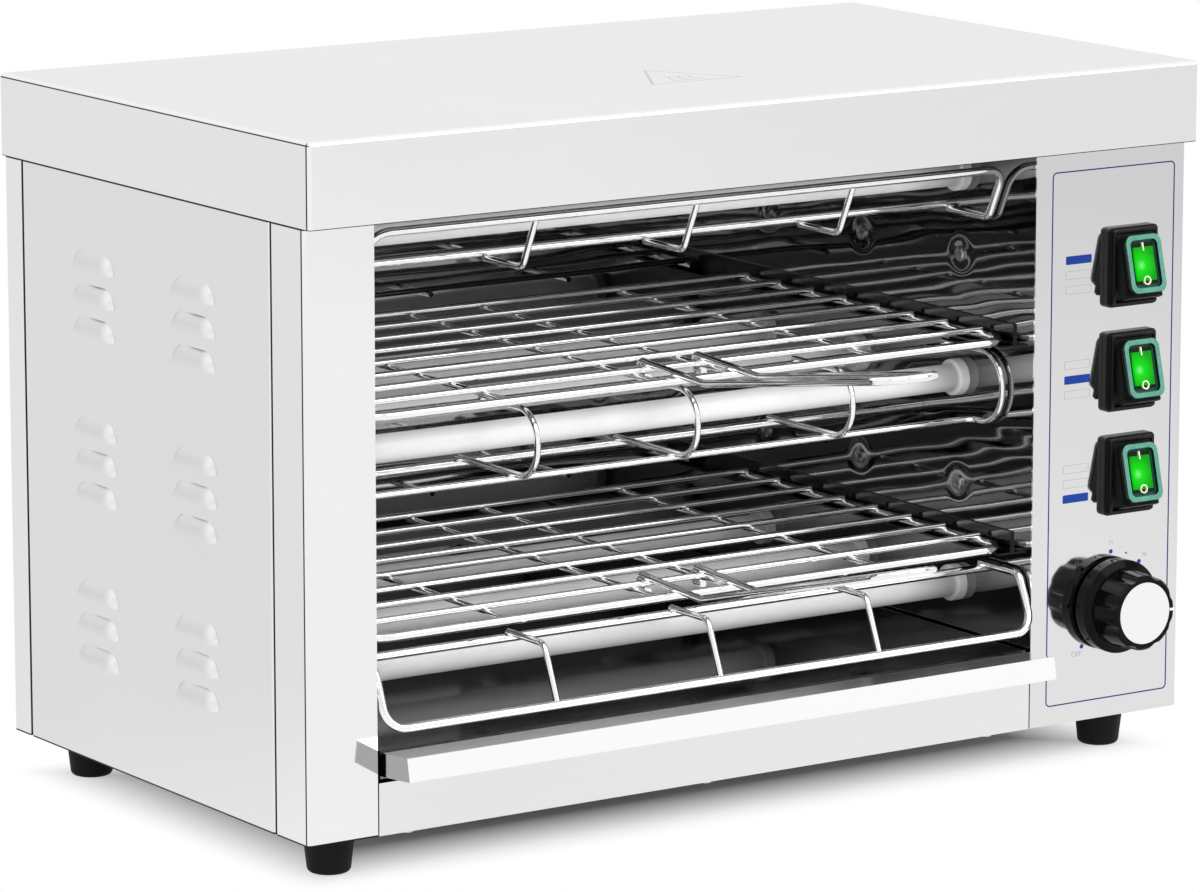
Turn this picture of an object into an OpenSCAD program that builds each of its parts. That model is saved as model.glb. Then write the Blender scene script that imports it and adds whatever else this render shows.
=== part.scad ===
// Two-deck salamander grill: a folded stainless cabinet with quartz heating tubes above, between
// and below two sliding wire racks, a crumb tray, three lit rocker switches and a timer.
// +X is the right-hand side seen from the front, +Y points to the back and +Z points up.

/* [Cabinet] */
// Width of the body across its side panels
cabinet_w = 488; // [470:1:540]
// Depth of the body from the front face to the rear face
cabinet_d = 268; // [262:1:300]
// Thickness of the stainless steel sheet
sheet_t = 1; // [0.8:0.1:1.2]
// Outside radius of the folded edges
bend_r = 2; // [1.5:0.1:2.6]
// Width of the visible seams between panels
seam_gap = 0.6; // [0.2:0.1:0.8]
// Width of the front face of the left pillar
pillar_w = 36; // [32:1:42]
// Width of the control panel
panel_w = 89; // [84:1:98]
// Depth of the side returns of the pillar and the control panel
front_return = 28; // [24:1:34]
// Depth of the side returns of the rear panel
rear_return = 16; // [13:1:22]
// Width of the flanges turned inwards at the seams
seam_flange = 9; // [7:0.5:11]
// Height of the rail below the crumb tray
rail_h = 24; // [21:0.5:26]
// Depth of the top flange of the rail
rail_flange = 14; // [11:1:16]

/* [Lid] */
// Height of the lid skirt
lid_skirt = 38.5; // [32:0.5:44]
// Overhang of the lid past the front face
lid_overhang = 7; // [5:0.5:10]
// Gap between the lid skirt and the body
lid_fit = 0.3; // [0.2:0.1:0.6]

/* [Louvres] */
// Length of one louvre
louvre_len = 37; // [30:1:44]
// Radius of the tool that presses a louvre
louvre_r = 12; // [10:0.5:14]
// How far a louvre stands out of its panel
louvre_rise = 4; // [3:0.25:4.5]
// Distance between the two columns of louvres
louvre_columns = 90; // [80:1:110]
// Distance between louvres in a group
louvre_pitch = 15.3; // [13:0.1:17]
// Distance between groups of louvres
louvre_groups = 77; // [62:1:82]
// Height of the lowest louvre above the base
louvre_low = 46; // [36:1:56]

/* [Cavity] */
// Height of the bottom tubes above the rail
tubes_over_rail = 37; // [33:0.5:44]
// Height of the lower deck, from the bottom tubes to the middle tubes
lower_deck_h = 100; // [90:0.5:115]
// Height of the upper deck, from the middle tubes to the top tubes
upper_deck_h = 98.5; // [90:0.5:115]
// Space between the top tubes and the cavity ceiling
top_space = 26.5; // [22:0.5:34]
// Space between the cavity ceiling and the lid
lid_space = 26; // [22:1:32]
// Gap between the cavity back wall and the rear panel
back_gap = 15; // [10:1:20]
// Width of the flange that fixes a cavity wall behind the front
wall_flange = 12; // [9:1:15]
// Height of the lower row of wall screws above the lower rack
low_screw_rise = 21.5; // [16:0.5:26]
// Height of the upper row of wall screws above the upper rack
high_screw_rise = 32.5; // [26:0.5:36]
// Diameter of the wall screws
wall_screw_d = 3.5; // [3:0.5:4]

/* [Heaters] */
// Outside diameter of a quartz tube
tube_d = 13; // [11:0.5:14]
// Wall thickness of a quartz tube
tube_wall = 1; // [0.8:0.1:1.4]
// Distance of the front tubes behind the front face
tube_y = 58; // [54:0.5:64]
// Distance of the back tubes in front of the cavity back wall
tube_back = 36; // [24:1:48]
// Diameter of the ceramic cap flange
cap_d = 17.5; // [16:0.5:19]
// Length of a ceramic cap inside the cavity
cap_len = 5.5; // [5:0.25:8]
// Depth to which a tube sits in its cap
cap_socket = 4; // [3:0.25:4.5]
// Diameter of a terminal stud
stud_d = 4; // [3:0.5:5]

/* [Racks] */
// Height of the lower rack wires above the bottom tubes
lower_rack_rise = 27; // [24:0.5:30]
// Height of the upper rack wires above the middle tubes
upper_rack_rise = 26.5; // [24:0.5:30]
// Distance of the rack front rod behind the front face
rack_y = 15; // [12:0.5:18]
// Distance of the first rack wire behind the front rod
first_wire_gap = 20.5; // [18:0.5:26]
// Distance of the last rack wire in front of the cavity back wall
rack_back_gap = 25.5; // [14:0.5:32]
// Number of wires behind the front rod
rack_wires = 8; // [6:1:10]
// Distance of the inner cross wires from the rack middle
cross_inner = 21; // [20:0.5:30]
// Distance of the outer cross wires from the rack middle
cross_outer = 102; // [90:1:130]
// Gap between a rack frame and the cavity walls
rack_gap = 2.3; // [2:0.1:3]
// Diameter of the frame rod of a rack
rod_d = 4.4; // [4:0.1:4.8]
// Radius of the front corners of a rack frame
rack_corner_r = 12; // [8:0.5:16]
// Diameter of the rack wires
wire_d = 3.2; // [2.8:0.1:3.4]
// Diameter of the cross wires
cross_d = 2.8; // [2.4:0.1:3]
// How far crossing wires are melted into each other
weld = 0.7; // [0.5:0.1:0.8]
// Width of the rail ledges that carry the racks
ledge_w = 8; // [7:0.5:9]
// Height of the rail leg on the wall
ledge_leg = 10; // [8:0.5:12]

/* [Handles] */
// Diameter of the handle wire
handle_d = 3.5; // [3:0.1:4]
// Width of a handle between wire centres
handle_w = 30.5; // [26:0.5:34]
// Reach of the handles in front of the front face
handle_reach = 153; // [120:1:180]
// Distance of the handle bend in front of the front face
handle_bend = 12; // [8:1:20]
// Space between a handle and the front rod below it
handle_rest = 0.9; // [0.3:0.1:0.9]
// Upward slope of the upper handle in degrees
upper_handle_rise = 9; // [6:0.5:14]
// Upward slope of the lower handle in degrees
lower_handle_rise = 14.5; // [8:0.5:16]

/* [Guards] */
// Diameter of the guard rods
guard_rod_d = 4; // [3.4:0.1:4.2]
// Diameter of the guard wires
guard_wire_d = 3; // [2.6:0.1:3.2]
// Number of wires between the ends of a guard
guard_wires = 3; // [2:1:5]
// Distance of the guard ends from the cavity walls
guard_gap = 2.5; // [2.3:0.1:4]
// Distance of the left-hand ends of the top and middle guards from the cavity wall
guard_left_gap = 11; // [6:0.5:16]

/* [Crumb tray] */
// Height of the tray walls
tray_wall_h = 12.5; // [10:0.5:14]
// Gap between the tray and the cavity walls
tray_gap = 2.2; // [2:0.1:3]
// Gap between the tray back and the cavity back wall
tray_back_gap = 8; // [5:1:14]
// Reach of the tray lip in front of the front face
lip_reach = 23; // [16:0.5:26]
// Height of the tray lip at its front
lip_h = 10.5; // [9:0.5:12]

/* [Switches] */
// Distance of the switch centres from the right-hand edge of the body
switch_inset = 33.4; // [31:0.2:37]
// Height of the lowest switch above the base
switch_low_h = 117.5; // [112:0.5:124]
// Distance between switches
switch_pitch = 50; // [46:0.5:54]
// Width of a switch collar
collar_w = 30; // [28:0.5:32]
// Height of a switch collar
collar_h = 38; // [37:0.5:42]
// Thickness of a switch collar
collar_t = 2.7; // [2:0.1:3.2]
// Width of the sleeve that stands on a switch collar
sleeve_w = 26; // [25:0.5:27]
// Height of the sleeve
sleeve_h = 36; // [35:0.5:36.5]
// Reach of the sleeve in front of the panel
sleeve_reach = 5.2; // [4.8:0.1:6]
// Wall thickness of the sleeve
sleeve_wall = 1.4; // [1.2:0.1:1.8]
// Tilt of a rocker to each side in degrees
rocker_tilt = 14; // [10:1:16]
// Distance of the rocker face in front of its pivot
rocker_face = 8.3; // [7.5:0.1:10]

/* [Timer] */
// Distance of the timer shaft from the right-hand edge of the body
timer_inset = 41.5; // [38:0.5:44]
// Height of the timer shaft above the base
timer_h = 55; // [50:0.5:60]
// Diameter of the knob skirt
skirt_d = 45; // [42:0.5:50]
// Diameter of the knob grip
grip_d = 36; // [32:0.5:38]
// Diameter of the disc in the knob front
disc_d = 29.5; // [24:0.5:31]
// Reach of the knob in front of the panel
knob_reach = 26.5; // [24:0.5:33]
// Number of finger flutes round the knob
flutes = 8; // [6:1:10]
// Diameter of the timer shaft
shaft_d = 6; // [5:0.5:7]

/* [Feet] */
// Height of the feet
feet_h = 20; // [16:0.5:26]
// Diameter of a foot at its top
foot_d = 24; // [22:0.5:28]
// Diameter of a foot at its bottom
foot_bottom_d = 20; // [18:0.5:22]
// Distance of the foot centres from the body sides
foot_inset = 26.5; // [24:0.5:32]
// Diameter of the foot screws
foot_screw_d = 4; // [3.5:0.5:5]

/* [Mains entry] */
// Bore of the cord bush in the rear panel
bush_bore = 8; // [7:0.5:10]
// Distance of the cord bush from the right-hand edge of the body
bush_inset = 45; // [40:1:60]
// Height of the cord bush above the base
bush_h = 40; // [32:1:60]

/* [Hidden] */
$fn = 48;

steel = "#d9dbdc";
mirror_steel = "#8d9092";
wire_steel = "#c4c7c9";
quartz = "#efeeea";
ceramic = "#e6e2d8";
black = "#1c1c1d";
rubber = "#202021";
teal = "#55967d";
green = "#00c814";

// Clearance between pieces that are seated on each other
seat = 0.1;
// Clearance under pieces that slide
slide = 0.3;
// Play of a turning shaft in its hole, on the diameter
shaft_play = 0.1;
// Length by which cutters run past a face
past = 1;
// A bend in a wire runs this far into its straights and is drawn thinner by this much
bend_lap = 0.3;
bend_thinning = 0.06;
// Half of the straight left between two bends that form a bow
flat_between_bends = 1;

// Heights above the base
bottom_tubes_h = rail_h + tubes_over_rail;
middle_tubes_h = bottom_tubes_h + lower_deck_h;
top_tubes_h = middle_tubes_h + upper_deck_h;
ceiling_h = top_tubes_h + top_space;
cabinet_h = ceiling_h + lid_space;
lower_rack_h = bottom_tubes_h + lower_rack_rise;
upper_rack_h = middle_tubes_h + upper_rack_rise;
screw_levels = [lower_rack_h + low_screw_rise, upper_rack_h + high_screw_rise];

half_w = cabinet_w / 2;
base_z = feet_h;
top_z = base_z + cabinet_h;
floor_z = base_z + sheet_t + seat;
ceiling_z = base_z + ceiling_h;
open_left = -half_w + pillar_w;
open_right = half_w - panel_w;
open_mid = (open_left + open_right) / 2;
back_y = cabinet_d - sheet_t - back_gap;
wall_y = sheet_t + seat;
rail_top = base_z + rail_h;

// The bush stands furthest back and the handles furthest forward, and the origin lies midway
bush_flange_t = 4;
bush_flange_w = 7;
bush_flange_d = bush_bore + 2 * bush_flange_w;
bush_wall = 4;
bush_neck_d = bush_bore + 2 * bush_wall;
back_reach = cabinet_d + bush_flange_t;
front_reach = handle_reach + handle_d / 2;
front_y = (front_reach - back_reach) / 2;

tube_levels = [top_tubes_h, middle_tubes_h, bottom_tubes_h];
tube_pitch = (back_y - tube_back - tube_y) / 2;
tube_places = [for (i = [0 : 2]) tube_y + i * tube_pitch];
neck_d = tube_d - 2;
neck_out = 5;
stud_out = 16;
stud_in = 3;

first_wire_y = rack_y + first_wire_gap;
rack_pitch = (back_y - rack_back_gap - first_wire_y) / (rack_wires - 1);
// The frame rod of a rack lies this far below the middle of its wires
frame_drop = 2.6;

guard_left = open_left + guard_left_gap;
guard_right = open_right - guard_gap;
guard_hole_d = guard_rod_d + 0.4;
guard_rod_out = 3;
// Rods and wires of a guard cross at this distance
guard_lift = (guard_rod_d + guard_wire_d) / 2 - weld;
// Radii of the folds of the guard wires and of the corners of the guard frames
guard_fold_r = 5;
guard_corner_r = 10;
bow_turn_r = 6;
// Space between the bows of the middle guard and the rails above them
bow_space = 2.8;

// Section of each guard: distance behind the front face and height above the tube of its level
top_guard_front = [21.5, 6];
top_guard_low = [33, -18.3];
top_guard_back = 64;
bow_y = 21;
bow_drop = 18;
middle_guard_back = 88;
middle_guard_top_back = 68;
bottom_guard_front = [-4.5, -12.5];
bottom_guard_high = [6.5, 13.5];
bottom_guard_back = 36;

top_cross_z = base_z + top_tubes_h + top_guard_low[1] + guard_lift;
bow_low_z = base_z + middle_tubes_h - bow_drop;
bow_high_z = rack_ledge_z(upper_rack_h) - sheet_t - bow_space - guard_wire_d / 2;
bow_r = (bow_high_z - bow_low_z) / 2;
bow_rod_y = bow_y + bow_r + bow_turn_r;
bow_top_rod_z = bow_high_z - guard_lift;
bottom_cross_z = base_z + bottom_tubes_h + bottom_guard_high[1] - guard_lift;
guard_rod_places = [[top_guard_back, top_cross_z], [middle_guard_back, bow_low_z],
                    [middle_guard_top_back, bow_top_rod_z], [bottom_guard_back, bottom_cross_z]];

tray_left = open_left + tray_gap;
tray_right = open_right - tray_gap;
tray_front = sheet_t + 0.5;
tray_back = back_y - tray_back_gap;
runner_z = rail_top + 0.2;
tray_z = runner_z + sheet_t + slide;

switch_x = half_w - switch_inset;
switch_levels = [for (i = [2 : -1 : 0]) base_z + switch_low_h + i * switch_pitch];
well_w = sleeve_w - 2 * sleeve_wall;
well_h = sleeve_h - 2 * sleeve_wall;
// Play of a rocker beside and above the walls of its well
rocker_side_play = 0.4;
rocker_end_play = 0.35;
rocker_w = well_w - 2 * rocker_side_play;
rocker_r = well_h / 2 - rocker_end_play;
pivot_y = 2 - sleeve_reach;
pin_d = 2.4;
pin_in = 0.9;
housing_w = sleeve_w - 4;
housing_h = sleeve_h - 6;
housing_depth = 22;
seal_w = rocker_w - 1.6;
seal_h = well_h - 5.7;
seal_t = 2;
seal_corner = 4;
seal_rim = 2.4;
// Width of the seal face beside the lens, and above and below it
seal_side = 4.7;
seal_end = 5.75;
lens_w = seal_w - 2 * seal_side;
lens_h = seal_h - 2 * seal_end;
lens_t = 1.2;
boot_fold_t = 1.5;
boot_crown_t = 0.9;
boot_shoulder = rocker_face - 3.2;
// A boot is wider than its seal at the fold and at the crown, and narrower at the waist
boot_fold_grow = 0.7;
boot_waist_grow = -0.7;
boot_crown_grow = 0.3;

timer_x = half_w - timer_inset;
timer_z = base_z + timer_h;
timer_size = 44;
timer_depth = 28;
bushing_d = shaft_d + 4;
knob_back = 1.5;
skirt_front = 8.5;
disc_t = 1.2;
shaft_end = 8;

foot_x = half_w - foot_inset;
foot_places = [for (x = [-foot_x, foot_x], y = [foot_inset, cabinet_d - foot_inset]) [x, y]];
foot_bore_d = foot_screw_d * 2.5;
foot_web = feet_h * 0.3;
rail_screw_inset = 20;
rail_screw_step = (open_right - open_left) / 2 - rail_screw_inset;
rail_screw_places = [for (i = [-1 : 1]) open_mid + i * rail_screw_step];
rail_screw_y = 8;
rail_screw_d = 4;

bush_x = half_w - bush_inset;
bush_z = base_z + bush_h;

function unit(v) = v / norm(v);
function across(v) = unit(abs(v[2]) < 0.9 ? cross([0, 0, 1], v) : cross([1, 0, 0], v));
function turn_of(u, w) = acos(max(-1, min(1, u * w)));
function trim_of(u, w, r) = r * tan(turn_of(u, w) / 2);

// Moves a piece drawn from the front face into the frame of the whole object
module in_frame() {
    translate([0, front_y, 0])
        children();
}

// Sets children on axes x, y and z with their origin at o
module on_axes(o, x, y, z) {
    multmatrix([[x[0], y[0], z[0], o[0]],
                [x[1], y[1], z[1], o[1]],
                [x[2], y[2], z[2], o[2]],
                [0, 0, 0, 1]])
        children();
}

// Straight round rod between two points
module rod(a, b, d) {
    z = unit(b - a);
    x = across(z);
    on_axes(a, x, cross(z, x), z)
        cylinder(h = norm(b - a), d = d);
}

// Round bend at corner p from direction u to direction w, run a little way into both straights
module rod_bend(p, u, w, r, d) {
    n = unit(w - u * (u * w));
    lap = asin(bend_lap / r);
    on_axes(p - u * trim_of(u, w, r) + n * r, -n, u, cross(-n, u))
        rotate([0, 0, -lap])
            rotate_extrude(angle = turn_of(u, w) + 2 * lap)
                translate([r, 0])
                    circle(d = d - bend_thinning);
}

// Wire along a path of points, with one bend radius for each corner
module bent_wire(path, d, radii) {
    last = len(path) - 1;
    ways = [for (i = [0 : last - 1]) unit(path[i + 1] - path[i])];
    trims = [for (i = [0 : last]) (i == 0 || i == last) ? 0
             : trim_of(ways[i - 1], ways[i], radii[i - 1])];
    for (i = [0 : last - 1])
        rod(path[i] + ways[i] * trims[i], path[i + 1] - ways[i] * trims[i + 1], d);
    for (i = [1 : last - 1])
        rod_bend(path[i], ways[i - 1], ways[i], radii[i - 1], d);
}

// Flat rectangle from corner a to corner b
module plate(a, b) {
    translate(a)
        square(b - a);
}

// Rectangle from corner a to corner b with round corners
module round_plate(a, b, r) {
    plate(a + [r, 0], b - [r, 0]);
    plate(a + [0, r], b - [0, r]);
    for (x = [a[0] + r, b[0] - r], y = [a[1] + r, b[1] - r])
        translate([x, y])
            circle(r = r);
}

// Closed ring of folded sheet from corner a to corner b, seen from above
module fold_ring(a, b) {
    inset = [sheet_t, sheet_t];
    difference() {
        round_plate(a, b, bend_r);
        round_plate(a + inset, b - inset, bend_r - sheet_t);
    }
}

// Box between two corners
module box(a, b) {
    translate(a)
        cube(b - a);
}

// Lays a profile drawn in Y and Z along X from x0 to x1
module along_x(x0, x1) {
    translate([x0, 0, 0])
        rotate([90, 0, 90])
            linear_extrude(x1 - x0)
                children();
}

// Lays a profile drawn in X and Z along Y from y0 to y1
module along_y(y0, y1) {
    translate([0, y1, 0])
        rotate([90, 0, 0])
            linear_extrude(y1 - y0)
                children();
}

// Stands a profile drawn in X and Y on height z0 up to height z1
module upright(z0, z1) {
    translate([0, 0, z0])
        linear_extrude(z1 - z0)
            children();
}

// Lid: an open box of sheet with folded edges
module top_cover() {
    lid_x = half_w + lid_fit + sheet_t;
    lid_back = cabinet_d + lid_fit + sheet_t;
    lid_top = top_z + sheet_t;
    lid_low = lid_top - lid_skirt;
    color(steel)
        in_frame()
            difference() {
                intersection() {
                    upright(lid_low, lid_top)
                        round_plate([-lid_x, -lid_overhang], [lid_x, lid_back], bend_r);
                    along_x(-lid_x, lid_x)
                        round_plate([-lid_overhang, lid_low - lid_skirt], [lid_back, lid_top], bend_r);
                    along_y(-lid_overhang, lid_back)
                        round_plate([-lid_x, lid_low - lid_skirt], [lid_x, lid_top], bend_r);
                }
                box([-half_w - lid_fit, sheet_t - lid_overhang, lid_low - past],
                    [half_w + lid_fit, cabinet_d + lid_fit, top_z]);
            }
}

// Front corner post seen from above: front face, side return and seam flange
module corner_fold(face_w) {
    edge = -half_w + face_w;
    difference() {
        fold_ring([-half_w, 0], [edge + 4 * bend_r, front_return]);
        plate([edge, -past], [edge + 5 * bend_r, front_return + past]);
        plate([-half_w + seam_flange, sheet_t + past], [edge + past, front_return + past]);
    }
}

module left_pillar() {
    color(steel)
        in_frame()
            upright(base_z, top_z - seat)
                corner_fold(pillar_w);
}

// Panel with cut-outs for the switches and the timer bushing
module control_panel() {
    color(steel)
        in_frame()
            difference() {
                upright(base_z, top_z - seat)
                    mirror([1, 0])
                        corner_fold(panel_w);
                for (z = switch_levels)
                    along_y(-past, sheet_t + past)
                        translate([switch_x, z])
                            square([housing_w + 2 * seat, housing_h + 2 * seat], center = true);
                along_y(-past, sheet_t + past)
                    translate([timer_x, timer_z])
                        circle(d = bushing_d + 2 * seat);
            }
}

// Rail below the tray: front face, top flange and the lower flange that is screwed to the base
module bottom_rail() {
    color(steel)
        in_frame()
            difference() {
                along_x(open_left + seam_gap, open_right - seam_gap) {
                    plate([0, base_z], [sheet_t, rail_top]);
                    plate([0, rail_top - sheet_t], [rail_flange, rail_top]);
                    plate([0, floor_z], [rail_flange, floor_z + sheet_t]);
                }
                for (x = rail_screw_places)
                    translate([x, rail_screw_y, base_z])
                        cylinder(h = rail_h / 2, d = rail_screw_d + 2 * seat);
            }
}

// Capsule along Y whose outside stands proud of a panel that faces -X
module louvre_form(r) {
    straight = louvre_len - 2 * sqrt(louvre_r * louvre_r - pow(louvre_r - louvre_rise, 2));
    translate([louvre_r - louvre_rise, 0, 0])
        rotate([90, 0, 0])
            rotate_extrude()
                intersection() {
                    union() {
                        plate([0, -straight / 2], [r, straight / 2]);
                        for (y = [-straight / 2, straight / 2])
                            translate([0, y])
                                circle(r = r);
                    }
                    plate([0, -louvre_len], [louvre_len, louvre_len]);
                }
}

// Calls its children at each louvre of the left panel
module louvre_places() {
    panel_mid = (front_return + cabinet_d - rear_return) / 2;
    for (column = [-1, 1], group = [0 : 2], row = [0 : 2])
        translate([-half_w, panel_mid + column * louvre_columns / 2,
                   base_z + louvre_low + group * louvre_groups + row * louvre_pitch])
            children();
}

// Side panel between the front and rear seams, with louvres that open downwards
module side_panel() {
    panel_front = front_return + seam_gap;
    panel_back = cabinet_d - rear_return - seam_gap;
    span = louvre_len;
    difference() {
        union() {
            upright(base_z, top_z - seat)
                difference() {
                    fold_ring([-half_w, panel_front], [-half_w + 4 * seam_flange, panel_back]);
                    plate([-half_w + seam_flange, panel_front - past],
                          [-half_w + 5 * seam_flange, panel_back + past]);
                }
            louvre_places()
                intersection() {
                    louvre_form(louvre_r);
                    box([-louvre_rise - past, -span, 0], [sheet_t / 2, span, louvre_r]);
                }
        }
        louvre_places()
            intersection() {
                louvre_form(louvre_r - sheet_t);
                box([-louvre_rise - past, -span, 0], [sheet_t + past, span, louvre_r]);
            }
    }
}

module left_side_panel() {
    color(steel)
        in_frame()
            side_panel();
}

module right_side_panel() {
    color(steel)
        in_frame()
            mirror([1, 0, 0])
                side_panel();
}

// Rear panel with folded side returns and the hole for the cord bush
module rear_panel() {
    inner_w = half_w - seam_flange;
    fold_y = cabinet_d - rear_return;
    color(steel)
        in_frame()
            difference() {
                upright(base_z, top_z - seat)
                    difference() {
                        fold_ring([-half_w, fold_y], [half_w, cabinet_d]);
                        plate([-inner_w, fold_y - past], [inner_w, cabinet_d - sheet_t - past]);
                    }
                along_y(cabinet_d - sheet_t - past, cabinet_d + past)
                    translate([bush_x, bush_z])
                        circle(d = bush_neck_d + 2 * seat);
            }
}

// Base sheet with corner reliefs round the seam flanges
module base_plate() {
    edge = half_w - sheet_t - seat;
    relief = half_w - seam_flange - seat;
    color(steel)
        in_frame()
            difference() {
                upright(base_z, base_z + sheet_t)
                    difference() {
                        plate([-edge, sheet_t + seat], [edge, cabinet_d - sheet_t - seat]);
                        for (side = [-1, 1], y = [front_return, cabinet_d - rear_return - seam_gap])
                            translate([side * (relief + seam_flange), y + seam_gap / 2])
                                square([2 * seam_flange, 2 * sheet_t + seam_gap + 2 * seat], center = true);
                    }
                for (p = foot_places)
                    translate([p[0], p[1], base_z - past])
                        cylinder(h = sheet_t + 2 * past, d = foot_screw_d + 2 * seat);
                for (x = rail_screw_places)
                    translate([x, rail_screw_y, base_z - past])
                        cylinder(h = sheet_t + 2 * past, d = rail_screw_d + 2 * seat);
            }
}

// Side wall of the cavity whose inner face is at x = 0 and whose flange points to +X
module cavity_wall() {
    difference() {
        upright(floor_z, ceiling_z - seat) {
            plate([0, wall_y], [sheet_t, back_y + sheet_t]);
            plate([0, wall_y], [wall_flange, wall_y + sheet_t]);
        }
        for (y = tube_places, h = tube_levels)
            wall_hole(y, base_z + h, neck_d + 2 * seat);
        for (y = tube_places, h = screw_levels)
            wall_hole(y, base_z + h, wall_screw_d + 2 * seat);
        for (p = guard_rod_places)
            wall_hole(p[0], p[1], guard_hole_d);
    }
}

// Cutter for a round hole through a side wall
module wall_hole(y, z, d) {
    translate([-past, y, z])
        rotate([0, 90, 0])
            cylinder(h = sheet_t + 2 * past, d = d);
}

// Turns a piece drawn for the right-hand wall to the wall on either side of the opening
module on_wall(side) {
    translate([side > 0 ? open_right : open_left, 0, 0])
        mirror([side > 0 ? 0 : 1, 0, 0])
            children();
}

module cavity_left_wall() {
    color(mirror_steel)
        in_frame()
            on_wall(-1)
                cavity_wall();
}

module cavity_right_wall() {
    color(mirror_steel)
        in_frame()
            on_wall(1)
                cavity_wall();
}

module cavity_back_wall() {
    color(mirror_steel)
        in_frame()
            box([open_left + seat, back_y, floor_z],
                [open_right - seat, back_y + sheet_t, ceiling_z - seat]);
}

// Ceiling sheet with a front flange turned up to the lid
module cavity_ceiling() {
    color(mirror_steel)
        in_frame()
            along_x(open_left - sheet_t, open_right + sheet_t) {
                plate([wall_y, ceiling_z], [back_y + sheet_t, ceiling_z + sheet_t]);
                plate([wall_y, ceiling_z], [wall_y + sheet_t, top_z - seat]);
            }
}

// Pair of angle rails on the side walls with their ledges at height z
module angle_rails(z, leg, y0, y1) {
    for (side = [-1, 1])
        on_wall(side)
            along_y(y0, y1) {
                plate([-ledge_w, z - sheet_t], [-seat, z]);
                plate([-seat - sheet_t, z - sheet_t], [-seat, z + leg]);
            }
}

function rack_ledge_z(h) = base_z + h - frame_drop - rod_d / 2 - slide;

module upper_rack_rails() {
    color(mirror_steel)
        in_frame()
            angle_rails(rack_ledge_z(upper_rack_h), ledge_leg, rack_y, back_y - seat);
}

module lower_rack_rails() {
    color(mirror_steel)
        in_frame()
            angle_rails(rack_ledge_z(lower_rack_h), ledge_leg, rack_y, back_y - seat);
}

module tray_runners() {
    color(mirror_steel)
        in_frame()
            angle_rails(runner_z + sheet_t, ledge_leg, rail_flange + past, back_y - seat);
}

// Quartz tube of one level and row, open at both ends
module quartz_tube(level, row) {
    socket = cap_len - cap_socket + seat;
    color(quartz)
        in_frame()
            translate([open_left + socket, tube_places[row], base_z + tube_levels[level]])
                rotate([0, 90, 0])
                    difference() {
                        length = open_right - open_left - 2 * socket;
                        cylinder(h = length, d = tube_d);
                        translate([0, 0, -past])
                            cylinder(h = length + 2 * past, d = tube_d - 2 * tube_wall);
                    }
}

// Ceramic cap on a wall: rounded flange round the tube end, with a neck through the wall
module ceramic_cap() {
    edge = 0.8;
    neck = sheet_t + neck_out;
    rotate([0, -90, 0])
        rotate_extrude()
            difference() {
                union() {
                    translate([0, seat])
                        square([cap_d / 2, cap_len - edge - seat]);
                    translate([0, seat])
                        square([cap_d / 2 - edge, cap_len - seat]);
                    translate([cap_d / 2 - edge, cap_len - edge])
                        circle(r = edge);
                    translate([0, -neck])
                        square([neck_d / 2, neck + past]);
                }
                translate([-past, cap_len - cap_socket])
                    square([tube_d / 2 + seat + past, cap_socket + past]);
                translate([-past, -neck - past])
                    square([stud_d / 2 + seat + past, neck + cap_len]);
            }
}

// Calls its children at each tube end on one wall
module tube_ends(side) {
    on_wall(side)
        for (y = tube_places, h = tube_levels)
            translate([0, y, base_z + h])
                children();
}

module left_ceramic_caps() {
    color(ceramic)
        in_frame()
            tube_ends(-1)
                ceramic_cap();
}

module right_ceramic_caps() {
    color(ceramic)
        in_frame()
            tube_ends(1)
                ceramic_cap();
}

// Resistance windings, each shown as the sleeve that its turns fill inside a tube
module heating_coils() {
    reach = cap_len - cap_socket + stud_in + seat;
    coil_gap = 1.5;
    coil_d = tube_d - 2 * tube_wall - 2 * coil_gap;
    color(wire_steel)
        in_frame()
            for (y = tube_places, h = tube_levels)
                rod([open_left + reach, y, base_z + h], [open_right - reach, y, base_z + h], coil_d);
}

// Terminal stud with its nut and blade at each tube end
module tube_terminals() {
    nut_d = stud_d * 2;
    nut_h = stud_d * 0.75;
    blade_w = stud_d * 1.6;
    blade_t = 0.8;
    blade_len = 8;
    nut_x = sheet_t + neck_out + seat;
    color(wire_steel)
        in_frame()
            for (side = [-1, 1])
                tube_ends(side) {
                    rod([cap_socket - cap_len - stud_in, 0, 0], [stud_out, 0, 0], stud_d);
                    translate([nut_x, 0, 0])
                        rotate([0, 90, 0])
                            cylinder(h = nut_h, d = nut_d, $fn = 6);
                    box([stud_out - past, -blade_w / 2, -blade_t / 2],
                        [stud_out + blade_len, blade_w / 2, blade_t / 2]);
                }
}

// Calls its children at the X of each wire between the ends of a guard
module guard_wire_places(x0, x1) {
    for (i = [1 : guard_wires])
        translate([x0 + i * (x1 - x0) / (guard_wires + 1), 0, 0])
            children();
}

// Rod across the cavity whose ends sit in holes in the side walls
module guard_cross_rod(y, z) {
    rod([open_left - guard_rod_out, y, z], [open_right + guard_rod_out, y, z], guard_rod_d);
}

// Guard in front of and below the front top tube
module top_guard() {
    z = base_z + top_tubes_h;
    front = [0, top_guard_front[0], z + top_guard_front[1]];
    low = [0, top_guard_low[0], z + top_guard_low[1]];
    back = [0, top_guard_back, low[2]];
    left = [guard_left, 0, 0];
    right = [guard_right, 0, 0];
    color(wire_steel)
        in_frame() {
            bent_wire([left + back, left + low, left + front, right + front, right + low, right + back],
                      guard_rod_d, [guard_fold_r, guard_corner_r, guard_corner_r, guard_fold_r]);
            guard_wire_places(guard_left, guard_right)
                bent_wire([front, low, back], guard_wire_d, [guard_fold_r]);
            guard_cross_rod(top_guard_back, top_cross_z);
        }
}

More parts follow.
